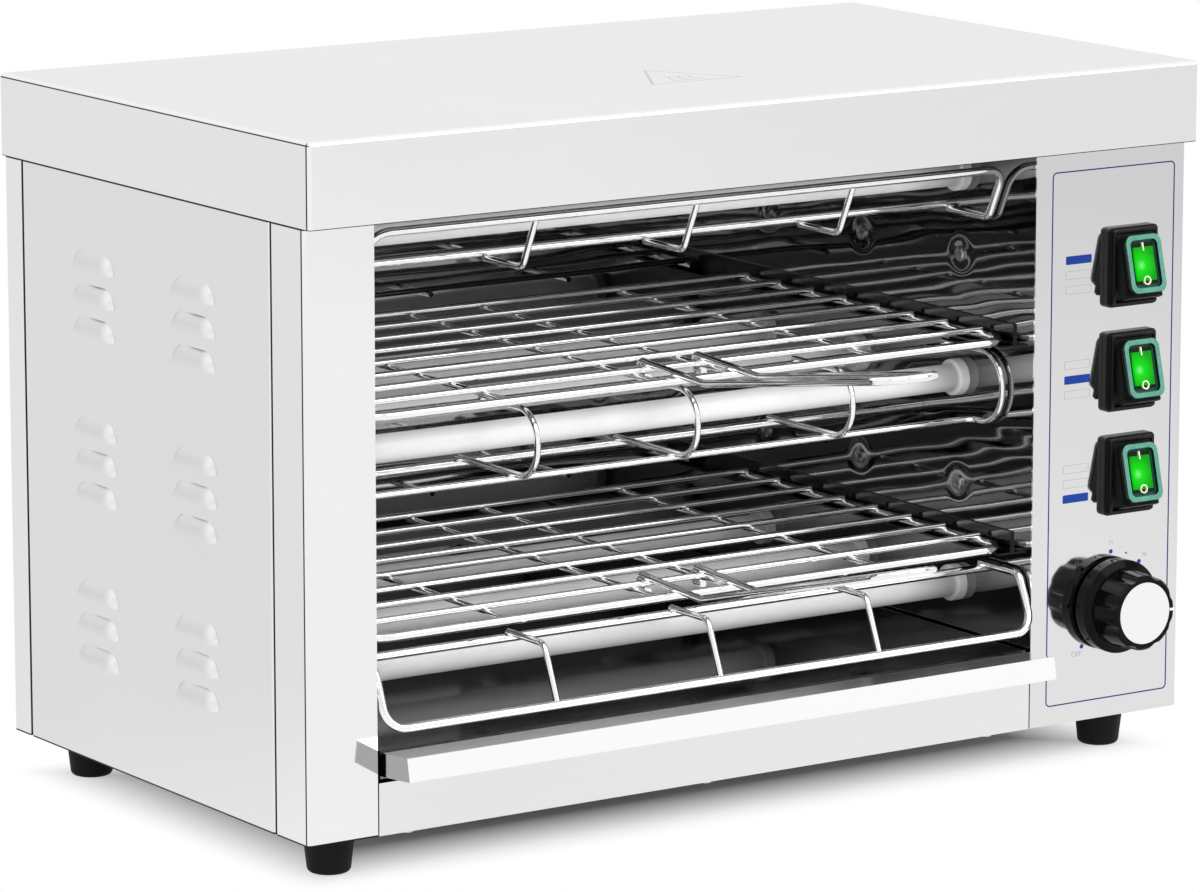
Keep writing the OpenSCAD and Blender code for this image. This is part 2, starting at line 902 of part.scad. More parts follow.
// Guard of bowed wires round the front middle tube
module middle_guard() {
    front_low = [0, bow_y, bow_low_z];
    front_high = [0, bow_y, bow_high_z];
    back_high = [0, middle_guard_top_back, bow_high_z];
    turn = [0, bow_rod_y, bow_low_z];
    end_r = bow_r - flat_between_bends;
    wire_r = end_r - guard_lift / 2;
    wire_low = [0, bow_y, bow_low_z + guard_lift];
    wire_back = [0, middle_guard_back, bow_low_z + guard_lift];
    left = [guard_left, 0, 0];
    right = [guard_right, 0, 0];
    color(wire_steel)
        in_frame() {
            bent_wire([left + back_high, left + front_high, left + front_low, left + turn,
                       right + turn, right + front_low, right + front_high, right + back_high],
                      guard_wire_d, [end_r, end_r, bow_turn_r, bow_turn_r, end_r, end_r]);
            guard_wire_places(guard_left, guard_right)
                bent_wire([back_high, front_high, wire_low, wire_back], guard_wire_d,
                          [wire_r, wire_r]);
            guard_cross_rod(middle_guard_back, bow_low_z);
            guard_cross_rod(middle_guard_top_back, bow_top_rod_z);
        }
}

// Guard in front of and above the front bottom tube, as wide as the opening
module bottom_guard() {
    z = base_z + bottom_tubes_h;
    low = [0, bottom_guard_front[0], z + bottom_guard_front[1]];
    high = [0, bottom_guard_high[0], z + bottom_guard_high[1]];
    back = [0, bottom_guard_back, high[2]];
    left = [open_left + guard_gap, 0, 0];
    right = [guard_right, 0, 0];
    color(wire_steel)
        in_frame() {
            bent_wire([left + back, left + high, left + low, right + low, right + high, right + back],
                      guard_rod_d, [guard_fold_r, guard_corner_r, guard_corner_r, guard_fold_r]);
            guard_wire_places(left[0], right[0])
                bent_wire([low, high, back], guard_wire_d, [guard_fold_r]);
            guard_cross_rod(bottom_guard_back, bottom_cross_z);
        }
}

// Welded wire rack: a frame rod bent at its front corners, wires across it and cross wires below
module wire_rack(h) {
    z = base_z + h;
    frame_z = z - frame_drop;
    cross_z = z - (wire_d + cross_d) / 2 + weld;
    left = open_left + rack_gap + rod_d / 2;
    right = open_right - rack_gap - rod_d / 2;
    frame_back = back_y - rack_back_gap + wire_d;
    cross_front = rack_y + rod_d / 2 - weld / 2;
    color(wire_steel)
        in_frame() {
            bent_wire([[left, frame_back, frame_z], [left, rack_y, frame_z],
                       [right, rack_y, frame_z], [right, frame_back, frame_z]],
                      rod_d, [rack_corner_r, rack_corner_r]);
            for (i = [0 : rack_wires - 1])
                rod([left, first_wire_y + i * rack_pitch, z], [right, first_wire_y + i * rack_pitch, z], wire_d);
            for (x = [-cross_outer, -cross_inner, cross_inner, cross_outer])
                rod([open_mid + x, cross_front, cross_z], [open_mid + x, frame_back, cross_z], cross_d);
        }
}

// Handle loop that passes over the front rod of a rack and curls round the wire behind it
module rack_handle(h, rise) {
    z = base_z + h;
    hook_r = (wire_d + handle_d) / 2 + seat;
    on_wire = z + hook_r;
    on_front = z - frame_drop + (rod_d + handle_d) / 2 + handle_rest;
    slope = (on_front - on_wire) / first_wire_gap;
    hook_y = first_wire_y + hook_r;
    curl_r = hook_r - flat_between_bends;
    bend_z = on_front + slope * (rack_y + handle_bend);
    tip_z = bend_z + (handle_reach - handle_bend) * tan(rise);
    knee_r = handle_d * 3;
    loop_r = handle_w / 2 - flat_between_bends;
    left = [open_mid - handle_w / 2, 0, 0];
    right = [open_mid + handle_w / 2, 0, 0];
    hook_end = [0, first_wire_y - handle_d, z - hook_r];
    hook_low = [0, hook_y, z - hook_r];
    hook = [0, hook_y, on_wire - slope * hook_r];
    knee = [0, -handle_bend, bend_z];
    tip = [0, -handle_reach, tip_z];
    color(wire_steel)
        in_frame()
            bent_wire([left + hook_end, left + hook_low, left + hook, left + knee, left + tip,
                       right + tip, right + knee, right + hook, right + hook_low, right + hook_end],
                      handle_d, [curl_r, curl_r, knee_r, loop_r, loop_r, knee_r, curl_r, curl_r]);
}

module upper_rack() {
    wire_rack(upper_rack_h);
}

module lower_rack() {
    wire_rack(lower_rack_h);
}

module upper_rack_handle() {
    rack_handle(upper_rack_h, upper_handle_rise);
}

module lower_rack_handle() {
    rack_handle(lower_rack_h, lower_handle_rise);
}

// Folded pan that catches crumbs
module crumb_tray() {
    color(mirror_steel)
        in_frame()
            difference() {
                box([tray_left, tray_front, tray_z], [tray_right, tray_back, tray_z + tray_wall_h]);
                box([tray_left + sheet_t, tray_front + sheet_t, tray_z + sheet_t],
                    [tray_right - sheet_t, tray_back - sheet_t, tray_z + tray_wall_h + past]);
            }
}

// Hollow-folded grip along the front of the tray, closed at its ends
module tray_lip() {
    low = tray_z + 1.3;
    back = tray_front - seat;
    lip_back_h = lip_h + 0.5;
    round_r = 2.5;
    front_low = low + 2;
    front_lean = 2;
    color(steel)
        in_frame()
            along_x(tray_left, tray_right) {
                polygon([[back, low], [back, low + lip_back_h - round_r],
                         [back - round_r, low + lip_back_h],
                         [front_lean - lip_reach, front_low + lip_h], [-lip_reach, front_low]]);
                translate([back - round_r, low + lip_back_h - round_r])
                    circle(r = round_r);
            }
}

// Switch housing: collar and sleeve with a rocker well, body and blades behind the panel
module switch_housing(level) {
    z = switch_levels[level];
    well_y = pivot_y + 2;
    collar = [collar_w / 2, collar_h / 2];
    sleeve = [sleeve_w / 2, sleeve_h / 2];
    pin_reach = well_w / 2 + pin_in + seat;
    blade_w = 6.3;
    blade_t = 0.8;
    blade_len = 8;
    blade_step = 9;
    collar_corner = 2.5;
    sleeve_corner = 1.2;
    color(black)
        in_frame()
            translate([switch_x, 0, z])
                difference() {
                    union() {
                        along_y(-collar_t, -seat)
                            round_plate(-collar, collar, collar_corner);
                        along_y(-sleeve_reach, -seat - past)
                            round_plate(-sleeve, sleeve, sleeve_corner);
                        along_y(-past, housing_depth)
                            square([housing_w, housing_h], center = true);
                        for (h = [-blade_step, 0, blade_step])
                            along_y(housing_depth - past, housing_depth + blade_len)
                                translate([0, h])
                                    square([blade_w, blade_t], center = true);
                    }
                    along_y(-sleeve_reach - past, well_y)
                        square([well_w, well_h], center = true);
                    rod([-pin_reach, pivot_y, 0], [pin_reach, pivot_y, 0], pin_d + shaft_play);
                }
}

// Sets children in the tilted frame of a rocker: X across, Y out of the panel, Z up, from its pivot
module on_rocker(level) {
    in_frame()
        translate([switch_x, pivot_y, switch_levels[level]])
            rotate([-rocker_tilt, 0, 0])
                children();
}

// Layer of a boot that is larger than its seal all round, from u0 to u1 in front of the pivot
module boot_layer(grow, u0, u1) {
    corner = [seal_w / 2 + grow, seal_h / 2 + grow];
    along_y(-u1, -u0)
        round_plate(-corner, corner, seal_corner + grow);
}

// Rocker boot: a rounded tilting block on two pins, with a fold below its crown
module rocker(level) {
    back = 1.4;
    wing = rocker_r * 1.2;
    rise = wing * tan(rocker_tilt);
    pin_x = rocker_w / 2 + rocker_side_play + pin_in;
    color(rubber)
        on_rocker(level) {
            along_x(-rocker_w / 2, rocker_w / 2)
                intersection() {
                    circle(r = rocker_r);
                    polygon([[back, 0], [back - rise, wing], [-boot_shoulder, wing],
                             [-boot_shoulder, -wing], [back - rise, -wing]]);
                }
            boot_layer(boot_fold_grow, boot_shoulder - past, boot_shoulder + boot_fold_t);
            boot_layer(boot_waist_grow, boot_shoulder, rocker_face);
            boot_layer(boot_crown_grow, rocker_face - boot_crown_t, rocker_face);
            rod([-pin_x, 0, 0], [pin_x, 0, 0], pin_d);
        }
}

// Translucent rim that seals the window of the boot
module rocker_seal(level) {
    rim = [seal_w / 2, seal_h / 2];
    window = rim - [seal_rim, seal_rim];
    color(teal)
        on_rocker(level)
            along_y(-rocker_face - seal_t, -rocker_face - seat / 2)
                difference() {
                    round_plate(-rim, rim, seal_corner);
                    round_plate(-window, window, seal_corner - seal_rim + 1);
                }
}

// Lit block in the middle of the window
module rocker_lens(level) {
    color(green)
        on_rocker(level)
            along_y(-rocker_face - lens_t, -rocker_face - seat / 2)
                square([lens_w, lens_h], center = true);
}

// Timer movement behind the panel with its threaded bushing through the panel
module timer_body() {
    half = timer_size / 2;
    corner = 5;
    color(mirror_steel)
        in_frame()
            translate([timer_x, 0, timer_z])
                difference() {
                    union() {
                        along_y(sheet_t + seat, sheet_t + timer_depth)
                            round_plate([-half, -half], [half, half], corner);
                        along_y(-past, sheet_t + past)
                            circle(d = bushing_d);
                    }
                    along_y(-2 * past, timer_depth / 2)
                        circle(d = shaft_d + shaft_play);
                }
}

// Shaft from inside the movement to the knob
module timer_shaft() {
    color(wire_steel)
        in_frame()
            rod([timer_x, timer_depth / 2 - past, timer_z],
                [timer_x, shaft_end - knob_reach, timer_z], shaft_d);
}

// Knob with a flared skirt, a fluted grip and a pointer notch at its right-hand edge
module timer_knob() {
    grip_r = grip_d / 2;
    skirt_r = skirt_d / 2;
    grip_low = skirt_front + 1.5;
    edge = 1;
    flute_r = 5.5;
    flute_depth = 1.5;
    notch_w = 1.6;
    notch_h = 3;
    shaft_hole_h = knob_reach - shaft_end + seat;
    color(black)
        in_frame()
            translate([timer_x, 0, timer_z])
                rotate([90, 0, 0])
                    difference() {
                        rotate_extrude()
                            polygon([[0, knob_back], [skirt_r - edge, knob_back],
                                     [skirt_r, knob_back + edge], [skirt_r, skirt_front],
                                     [grip_r + 1, grip_low], [grip_r, knob_reach - edge],
                                     [grip_r - edge, knob_reach], [0, knob_reach]]);
                        for (i = [0 : flutes - 1])
                            rotate([0, 0, (i + 0.5) * 360 / flutes])
                                translate([grip_r + flute_r - flute_depth, 0, grip_low + 0.5])
                                    cylinder(h = knob_reach, r = flute_r);
                        translate([0, 0, knob_reach - disc_t])
                            cylinder(h = disc_t + past, d = disc_d + 2 * seat);
                        translate([disc_d / 2, -notch_w / 2, knob_reach - notch_h])
                            cube([grip_r, notch_w, notch_h + past]);
                        cylinder(h = shaft_hole_h, d = shaft_d + shaft_play);
                    }
}

module knob_disc() {
    color("#f2f2f2")
        in_frame()
            along_y(-knob_reach, disc_t - knob_reach - seat / 2)
                translate([timer_x, timer_z])
                    circle(d = disc_d);
}

// Tapered rubber feet with a deep hole for their screws
module feet() {
    edge = 2.5;
    color(rubber)
        in_frame()
            for (p = foot_places)
                translate([p[0], p[1], 0])
                    difference() {
                        rotate_extrude() {
                            polygon([[0, 0], [foot_bottom_d / 2 - edge, 0], [foot_bottom_d / 2, edge],
                                     [foot_d / 2, feet_h - seat], [0, feet_h - seat]]);
                            translate([foot_bottom_d / 2 - edge, edge])
                                circle(r = edge);
                        }
                        translate([0, 0, -past])
                            cylinder(h = feet_h - foot_web + past, d = foot_bore_d);
                        cylinder(h = feet_h + past, d = foot_screw_d + 2 * seat);
                    }
}

// Screws that hold the feet, each with a nut on the base
module foot_screws() {
    head_h = foot_screw_d * 0.75;
    nut_h = foot_screw_d * 0.8;
    color(wire_steel)
        in_frame()
            for (p = foot_places)
                translate([p[0], p[1], 0]) {
                    translate([0, 0, feet_h - foot_web - head_h])
                        cylinder(h = head_h - seat, d = foot_screw_d * 2);
                    translate([0, 0, feet_h - foot_web - past])
                        cylinder(h = foot_web + sheet_t + nut_h + 2 * past, d = foot_screw_d);
                    translate([0, 0, base_z + sheet_t + seat])
                        cylinder(h = nut_h, d = foot_screw_d * 2, $fn = 6);
                }
}

// Domed screws along the cavity walls
module wall_screws() {
    head_d = wall_screw_d * 2;
    dome_r = wall_screw_d * 1.6;
    dome_h = wall_screw_d * 0.57;
    shank = sheet_t + 5;
    color(wire_steel)
        in_frame()
            for (side = [-1, 1])
                on_wall(side)
                    for (y = tube_places, h = screw_levels)
                        translate([0, y, base_z + h]) {
                            intersection() {
                                translate([dome_r - dome_h - seat, 0, 0])
                                    sphere(r = dome_r);
                                rotate([0, -90, 0])
                                    translate([0, 0, seat])
                                        cylinder(h = dome_h, d = head_d);
                            }
                            rod([-past, 0, 0], [shank, 0, 0], wall_screw_d);
                        }
}

// Screws from below that hold the rail flange to the base
module rail_screws() {
    head_h = rail_screw_d * 0.55;
    shank = 2 * sheet_t + 5;
    color(wire_steel)
        in_frame()
            for (x = rail_screw_places)
                translate([x, rail_screw_y, base_z]) {
                    translate([0, 0, -head_h])
                        cylinder(h = head_h - seat, d1 = rail_screw_d * 1.3, d2 = rail_screw_d * 2);
                    translate([0, 0, -past])
                        cylinder(h = shank, d = rail_screw_d);
                }
}

// Moulded bush that guards the mains cord where it passes the rear panel
module cord_bush() {
    lock_h = 6;
    lock_d = bush_flange_d - 2;
    edge = 1.5;
    out = sheet_t + bush_flange_t;
    flange_r = bush_flange_d / 2;
    color(black)
        in_frame()
            translate([bush_x, cabinet_d - sheet_t, bush_z])
                rotate([-90, 0, 0])
                    rotate_extrude()
                        difference() {
                            union() {
                                plate([0, sheet_t + seat], [flange_r - edge, out]);
                                plate([0, sheet_t + seat], [flange_r, out - edge]);
                                translate([flange_r - edge, out - edge])
                                    circle(r = edge);
                                plate([0, -lock_h], [bush_neck_d / 2, sheet_t + past]);
                                plate([0, -lock_h], [lock_d / 2, -seat]);
                            }
                            plate([-past, -lock_h - past], [bush_bore / 2, out + past]);
                        }
}

// Terminal block on the base, with a row of wire entries
module terminal_block() {
    poles = 4;
    pitch = 10;
    depth = 20;
    height = 16;
    entry_d = 4;
    slot_w = 1;
    slot_h = 4;
    block_inset = 50;
    block_y = cabinet_d - sheet_t - block_inset;
    color("#e9e4d6")
        in_frame()
            translate([bush_x - poles * pitch / 2, block_y, base_z + sheet_t + seat])
                difference() {
                    cube([poles * pitch, depth, height]);
                    for (i = [0 : poles - 1])
                        translate([(i + 0.5) * pitch, -past, height / 2])
                            rotate([-90, 0, 0])
                                cylinder(h = depth + 2 * past, d = entry_d);
                    for (i = [1 : poles - 1])
                        translate([i * pitch - slot_w / 2, -past, height - slot_h])
                            cube([slot_w, depth + 2 * past, slot_h + past]);
                }
}

top_cover();
left_pillar();
control_panel();
bottom_rail();
left_side_panel();
right_side_panel();
rear_panel();
base_plate();
cavity_left_wall();
cavity_right_wall();
cavity_back_wall();
cavity_ceiling();
upper_rack_rails();
lower_rack_rails();
tray_runners();
quartz_tube(0, 0);  // quartz_tube_top_front
quartz_tube(0, 1);  // quartz_tube_top_centre
quartz_tube(0, 2);  // quartz_tube_top_back
quartz_tube(1, 0);  // quartz_tube_middle_front
quartz_tube(1, 1);  // quartz_tube_middle_centre
quartz_tube(1, 2);  // quartz_tube_middle_back
quartz_tube(2, 0);  // quartz_tube_bottom_front
quartz_tube(2, 1);  // quartz_tube_bottom_centre
quartz_tube(2, 2);  // quartz_tube_bottom_back
left_ceramic_caps();
right_ceramic_caps();
heating_coils();
tube_terminals();
top_guard();
middle_guard();
bottom_guard();
upper_rack();
upper_rack_handle();
lower_rack();
lower_rack_handle();
crumb_tray();
tray_lip();
switch_housing(0);  // top_switch_housing
rocker(0);  // top_rocker
rocker_seal(0);  // top_rocker_seal
rocker_lens(0);  // top_rocker_lens
switch_housing(1);  // middle_switch_housing
rocker(1);  // middle_rocker
rocker_seal(1);  // middle_rocker_seal
rocker_lens(1);  // middle_rocker_lens
switch_housing(2);  // bottom_switch_housing
rocker(2);  // bottom_rocker
rocker_seal(2);  // bottom_rocker_seal
rocker_lens(2);  // bottom_rocker_lens
timer_body();
timer_shaft();
timer_knob();
knob_disc();
feet();
foot_screws();
wall_screws();
rail_screws();
cord_bush();
terminal_block();
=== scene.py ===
import math

import bpy
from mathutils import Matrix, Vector


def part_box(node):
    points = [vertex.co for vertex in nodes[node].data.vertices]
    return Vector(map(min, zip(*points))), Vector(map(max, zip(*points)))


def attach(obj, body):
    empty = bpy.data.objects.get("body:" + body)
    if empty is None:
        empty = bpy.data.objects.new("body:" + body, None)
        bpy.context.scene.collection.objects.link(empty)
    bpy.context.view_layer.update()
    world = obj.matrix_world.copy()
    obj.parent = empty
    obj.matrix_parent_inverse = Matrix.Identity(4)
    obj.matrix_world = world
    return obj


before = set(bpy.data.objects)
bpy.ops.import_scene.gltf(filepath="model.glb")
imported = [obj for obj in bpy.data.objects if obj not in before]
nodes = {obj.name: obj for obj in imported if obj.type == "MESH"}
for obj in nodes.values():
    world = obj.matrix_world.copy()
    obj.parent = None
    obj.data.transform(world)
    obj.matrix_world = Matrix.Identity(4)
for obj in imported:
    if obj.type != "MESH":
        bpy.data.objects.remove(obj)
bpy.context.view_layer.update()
mm = 0.001
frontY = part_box("control_panel")[0][1]  # front face of the cabinet
lidLow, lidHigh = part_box("top_cover")
sideLow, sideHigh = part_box("left_side_panel")
levels = ("top", "middle", "bottom")
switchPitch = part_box("top_switch_housing")[0][2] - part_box("middle_switch_housing")[0][2]
rockerTilt = math.radians(14)  # how far a rocker's face looks up when it is on
rockerOut = (0, -math.cos(rockerTilt), math.sin(rockerTilt))
print("frame loaded with", len(nodes), "nodes")


def middleOf(name):
    low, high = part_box(name)
    return [(first + last) / 2 for first, last in zip(low, high)]


# small helpers for shader nodes
noiseSpan = (0.3, 0.7)  # where the values of noise mostly lie
lineCore = 0.7  # share of a thin line's half width that has its full tone
bevelSamples = 4


def addNode(tree, kind, **settings):
    node = tree.nodes.new(kind)
    for key, value in settings.items():
        setattr(node, key, value)
    return node


def join(tree, source, target):
    tree.links.new(source, target)


def mathNode(tree, operation, first, second=None):
    node = addNode(tree, "ShaderNodeMath", operation=operation)
    for place, value in enumerate((first, second)):
        if value is None:
            continue
        if isinstance(value, (int, float)):
            node.inputs[place].default_value = value
        else:
            join(tree, value, node.inputs[place])
    return node.outputs[0]


def mapRange(tree, value, fromLow, fromHigh, toLow, toHigh):
    node = addNode(tree, "ShaderNodeMapRange")
    join(tree, value, node.inputs["Value"])
    node.inputs["From Min"].default_value = fromLow
    node.inputs["From Max"].default_value = fromHigh
    node.inputs["To Min"].default_value = toLow
    node.inputs["To Max"].default_value = toHigh
    return node.outputs["Result"]


def mixColor(tree, factor, first, second):
    node = addNode(tree, "ShaderNodeMix", data_type="RGBA")
    join(tree, factor, node.inputs["Factor"])
    for socket, value in ((node.inputs["A"], first), (node.inputs["B"], second)):
        if isinstance(value, tuple):
            socket.default_value = (*value, 1)
        else:
            join(tree, value, socket)
    return node.outputs["Result"]


def axesOf(tree, kind):  # X, Y and Z of one kind of texture coordinates
    coords = addNode(tree, "ShaderNodeTexCoord")
    parts = addNode(tree, "ShaderNodeSeparateXYZ")
    join(tree, coords.outputs[kind], parts.inputs[0])
    return parts.outputs


def facing(tree, direction):  # 1 on faces that look in the direction and -1 on those that look away
    coords = addNode(tree, "ShaderNodeTexCoord")
    product = addNode(tree, "ShaderNodeVectorMath", operation="DOT_PRODUCT")
    join(tree, coords.outputs["Normal"], product.inputs[0])
    product.inputs[1].default_value = direction
    return product.outputs["Value"]


def fromNearest(tree, value, first, pitch):  # signed distance to the nearest of evenly spaced places
    shifted = mathNode(tree, "SUBTRACT", value, first - pitch / 2)
    return mathNode(tree, "SUBTRACT", mathNode(tree, "FLOORED_MODULO", shifted, pitch), pitch / 2)


def straightLine(tree, across, up):  # length of the line that two offsets at a right angle span
    acrossSquare = mathNode(tree, "MULTIPLY", across, across)
    upSquare = mathNode(tree, "MULTIPLY", up, up)
    return mathNode(tree, "SQRT", mathNode(tree, "ADD", acrossSquare, upSquare))


def thinLine(tree, value, at, half):  # 1 near the given value and 0 beyond
    far = mathNode(tree, "ABSOLUTE", mathNode(tree, "SUBTRACT", value, at))
    return mapRange(tree, far, half * lineCore, half, 1, 0)


def addBump(tree, height, depth, under=None):
    bump = addNode(tree, "ShaderNodeBump")
    bump.inputs["Strength"].default_value = 1
    bump.inputs["Distance"].default_value = depth
    join(tree, height, bump.inputs["Height"])
    if under:
        join(tree, under, bump.inputs["Normal"])
    return bump.outputs["Normal"]


def roundEdges(tree, radius):  # moulded edges catch light as if rounded
    bevel = addNode(tree, "ShaderNodeBevel", samples=bevelSamples)
    bevel.inputs["Radius"].default_value = radius
    return bevel.outputs["Normal"]


# one group gives every finish its fine grain and its broad unevenness
def makeSurfaceGroup():
    group = bpy.data.node_groups.new("surfaceGrain", "ShaderNodeTree")
    for name, kind in (("Stretch", "NodeSocketVector"), ("Fine Scale", "NodeSocketFloat"),
                       ("Broad Scale", "NodeSocketFloat")):
        group.interface.new_socket(name, in_out="INPUT", socket_type=kind)
    for name in ("Fine", "Broad"):
        group.interface.new_socket(name, in_out="OUTPUT", socket_type="NodeSocketFloat")
    given = addNode(group, "NodeGroupInput")
    result = addNode(group, "NodeGroupOutput")
    coords = addNode(group, "ShaderNodeTexCoord")
    stretch = addNode(group, "ShaderNodeVectorMath", operation="MULTIPLY")
    join(group, coords.outputs["Object"], stretch.inputs[0])
    join(group, given.outputs["Stretch"], stretch.inputs[1])
    for name, place, detail in (("Fine", stretch.outputs[0], 3), ("Broad", coords.outputs["Object"], 2)):
        noise = addNode(group, "ShaderNodeTexNoise")
        noise.inputs["Detail"].default_value = detail
        join(group, place, noise.inputs["Vector"])
        join(group, given.outputs[name + " Scale"], noise.inputs["Scale"])
        join(group, noise.outputs["Fac"], result.inputs[name])
    return group


surfaceGroup = makeSurfaceGroup()


def startMaterial(name):
    material = bpy.data.materials.new(name)
    material.use_nodes = True
    tree = material.node_tree
    shader = tree.nodes["Principled BSDF"]
    return material, tree, shader


def addGrain(tree, finish):
    grain = addNode(tree, "ShaderNodeGroup", node_tree=surfaceGroup)
    grain.inputs["Stretch"].default_value = finish["stretch"]
    grain.inputs["Fine Scale"].default_value = finish["fineScale"]
    grain.inputs["Broad Scale"].default_value = finish["broadScale"]
    return grain.outputs


# parts of a face's unit normal at which a tone sets in
faceLimits = {"sideways": (0.6, 0.8), "upward": 0.9, "outward": (0.3, 0.6), "roofShade": (0.08, 0.4),
              "louvreEnd": (-0.4, -0.1), "window": 0.9}
# colour of the painted shade lines
seamShadeBlack = (0.02, 0.02, 0.02)


def seamShadeMask(tree, seams):  # 1 on the painted shade lines: thin dark lines in the gaps where sheets meet, below the lid and just inside folds
    place = axesOf(tree, "Object")
    sideways = mathNode(tree, "ABSOLUTE", axesOf(tree, "Normal")["X"])
    onSides = mapRange(tree, sideways, *faceLimits["sideways"], 0, 1)
    mask = None
    for seam in seams:
        line = thinLine(tree, place[seam["axis"]], seam["at"], seam["half"])
        if seam.get("sideOnly"):  # left and right faces only
            line = mathNode(tree, "MULTIPLY", line, onSides)
        mask = mathNode(tree, "MAXIMUM", mask, line) if mask else line
    return mask


def signMask(tree, sign):  # 1 on the lines of a hot surface sign: a triangle, three waves and a bar
    place = axesOf(tree, "Object")
    across = mathNode(tree, "SUBTRACT", place["X"], sign["across"])
    along = mathNode(tree, "SUBTRACT", place["Y"], frontY + sign["behind"])
    beside = mathNode(tree, "ABSOLUTE", across)
    lean = math.radians(30)  # flanks of a triangle with equal sides
    flank = mathNode(tree, "ADD", mathNode(tree, "MULTIPLY", beside, math.cos(lean)),
                     mathNode(tree, "MULTIPLY", along, math.sin(lean)))
    reach = mathNode(tree, "MAXIMUM", flank, mathNode(tree, "MULTIPLY", along, -1))
    triangle = thinLine(tree, reach, sign["inner"], sign["line"])
    swing = mathNode(tree, "SINE", mathNode(tree, "MULTIPLY", along, math.tau / sign["waveLong"]))
    swung = mathNode(tree, "SUBTRACT", across, mathNode(tree, "MULTIPLY", swing, sign["waveWide"]))
    outer = thinLine(tree, mathNode(tree, "ABSOLUTE", swung), sign["wavePitch"], sign["line"])
    waves = mathNode(tree, "MAXIMUM", outer, thinLine(tree, swung, 0, sign["line"]))
    inReach = mathNode(tree, "LESS_THAN", mathNode(tree, "ABSOLUTE", along), sign["waveLong"] / 2)
    bar = mathNode(tree, "MULTIPLY", thinLine(tree, along, -sign["barDrop"], sign["line"]),
                   mathNode(tree, "LESS_THAN", beside, sign["barHalf"]))
    inside = mathNode(tree, "MAXIMUM", mathNode(tree, "MULTIPLY", waves, inReach), bar)
    upward = mathNode(tree, "GREATER_THAN", axesOf(tree, "Normal")["Z"], faceLimits["upward"])
    return mathNode(tree, "MULTIPLY", mathNode(tree, "MAXIMUM", triangle, inside), upward)


shaderSockets = {"metallic": "Metallic", "specular": "Specular IOR Level", "coat": "Coat Weight",
                 "coatRoughness": "Coat Roughness"}


def makeFinish(finish):
    material, tree, shader = startMaterial(finish["name"])
    grain = addGrain(tree, finish)
    tone = mathNode(tree, "MULTIPLY", mathNode(tree, "ADD", grain["Fine"], grain["Broad"]), 0.5)
    color = mixColor(tree, mapRange(tree, tone, *noiseSpan, 0, 1), finish["dark"], finish["light"])
    if "side" in finish:  # painted shade: faces that look away from the outward direction get a darker colour of their own
        outward = mapRange(tree, facing(tree, finish["outward"]), *faceLimits["outward"], 0, 1)
        color = mixColor(tree, outward, finish["side"], color)
    if "roofShade" in finish:  # painted shade: the upward-facing roofs of the pressed louvres are darker than their brighter front ends
        normal = axesOf(tree, "Normal")
        upward = mapRange(tree, normal["Z"], *faceLimits["roofShade"], 0, 1)
        notEnd = mapRange(tree, normal["Y"], *faceLimits["louvreEnd"], 0, 1)
        color = mixColor(tree, mathNode(tree, "MULTIPLY", upward, notEnd), color, finish["roofShade"])
    if "sign" in finish:
        color = mixColor(tree, signMask(tree, finish["sign"]), color, finish["sign"]["ink"])
    # painted shade: thin dark lines at gaps, folds and edges
    if "seams" in finish:
        color = mixColor(tree, seamShadeMask(tree, finish["seams"]), color, seamShadeBlack)
    join(tree, color, shader.inputs["Base Color"])
    rough = mapRange(tree, tone, *noiseSpan, finish["smoothest"], finish["roughest"])
    join(tree, rough, shader.inputs["Roughness"])
    for key, socket in shaderSockets.items():
        if key in finish:
            shader.inputs[socket].default_value = finish[key]
    rounded = roundEdges(tree, finish["edge"]) if "edge" in finish else None
    uneven = addBump(tree, grain["Broad"], finish["broadDepth"], rounded)
    join(tree, addBump(tree, grain["Fine"], finish["fineDepth"], uneven), shader.inputs["Normal"])
    return material


def grey(value):
    return (value, value, value)


# painted shade lines where sheets meet, below the lid, above the base and inside folds, and the sign on the
# lid
underLid = {"axis": "Z", "at": lidLow[2] - 0.45 * mm, "half": 0.5 * mm}  # painted shadow line in the gap below the lid
footShadeLine = {"axis": "Z", "at": sideLow[2] + 0.3 * mm, "half": 0.5 * mm}  # painted shadow line at the edge above the base
# painted shade lines at the front and back edges of the side panels and at the rear panel's edge
panelShadeLines = [{"axis": "Y", "at": edge, "half": 0.6 * mm} for edge in (sideLow[1], sideHigh[1])]
rearShadeLine = {"axis": "Y", "at": sideHigh[1] + 0.6 * mm, "half": 0.8 * mm}
foldIn = 1.7 * mm  # just inside the rounded fold at a corner
# painted shade lines on the lid: just inside its side folds for the folds' dark reflection, and along its
# lower edge for the shadow there
lidShadeLines = [{"axis": "Y", "at": lidLow[1] + foldIn, "half": 0.5 * mm, "sideOnly": True},
            {"axis": "Z", "at": lidHigh[2] - foldIn, "half": 0.35 * mm, "sideOnly": True},
            {"axis": "Z", "at": lidLow[2] + 0.1 * mm, "half": 0.3 * mm}]
# painted shade line just inside the fold at the front post's corner, for the fold's dark reflection
postShadeLine = {"axis": "Y", "at": frontY + foldIn, "half": 0.5 * mm, "sideOnly": True}
hotSign = {"across": 7.5 * mm, "behind": 79.5 * mm, "inner": 14.2 * mm, "line": 0.8 * mm,
           "waveLong": 10 * mm, "waveWide": 1 * mm, "wavePitch": 5.5 * mm, "barDrop": 8.5 * mm,
           "barHalf": 9 * mm, "ink": grey(0.58)}

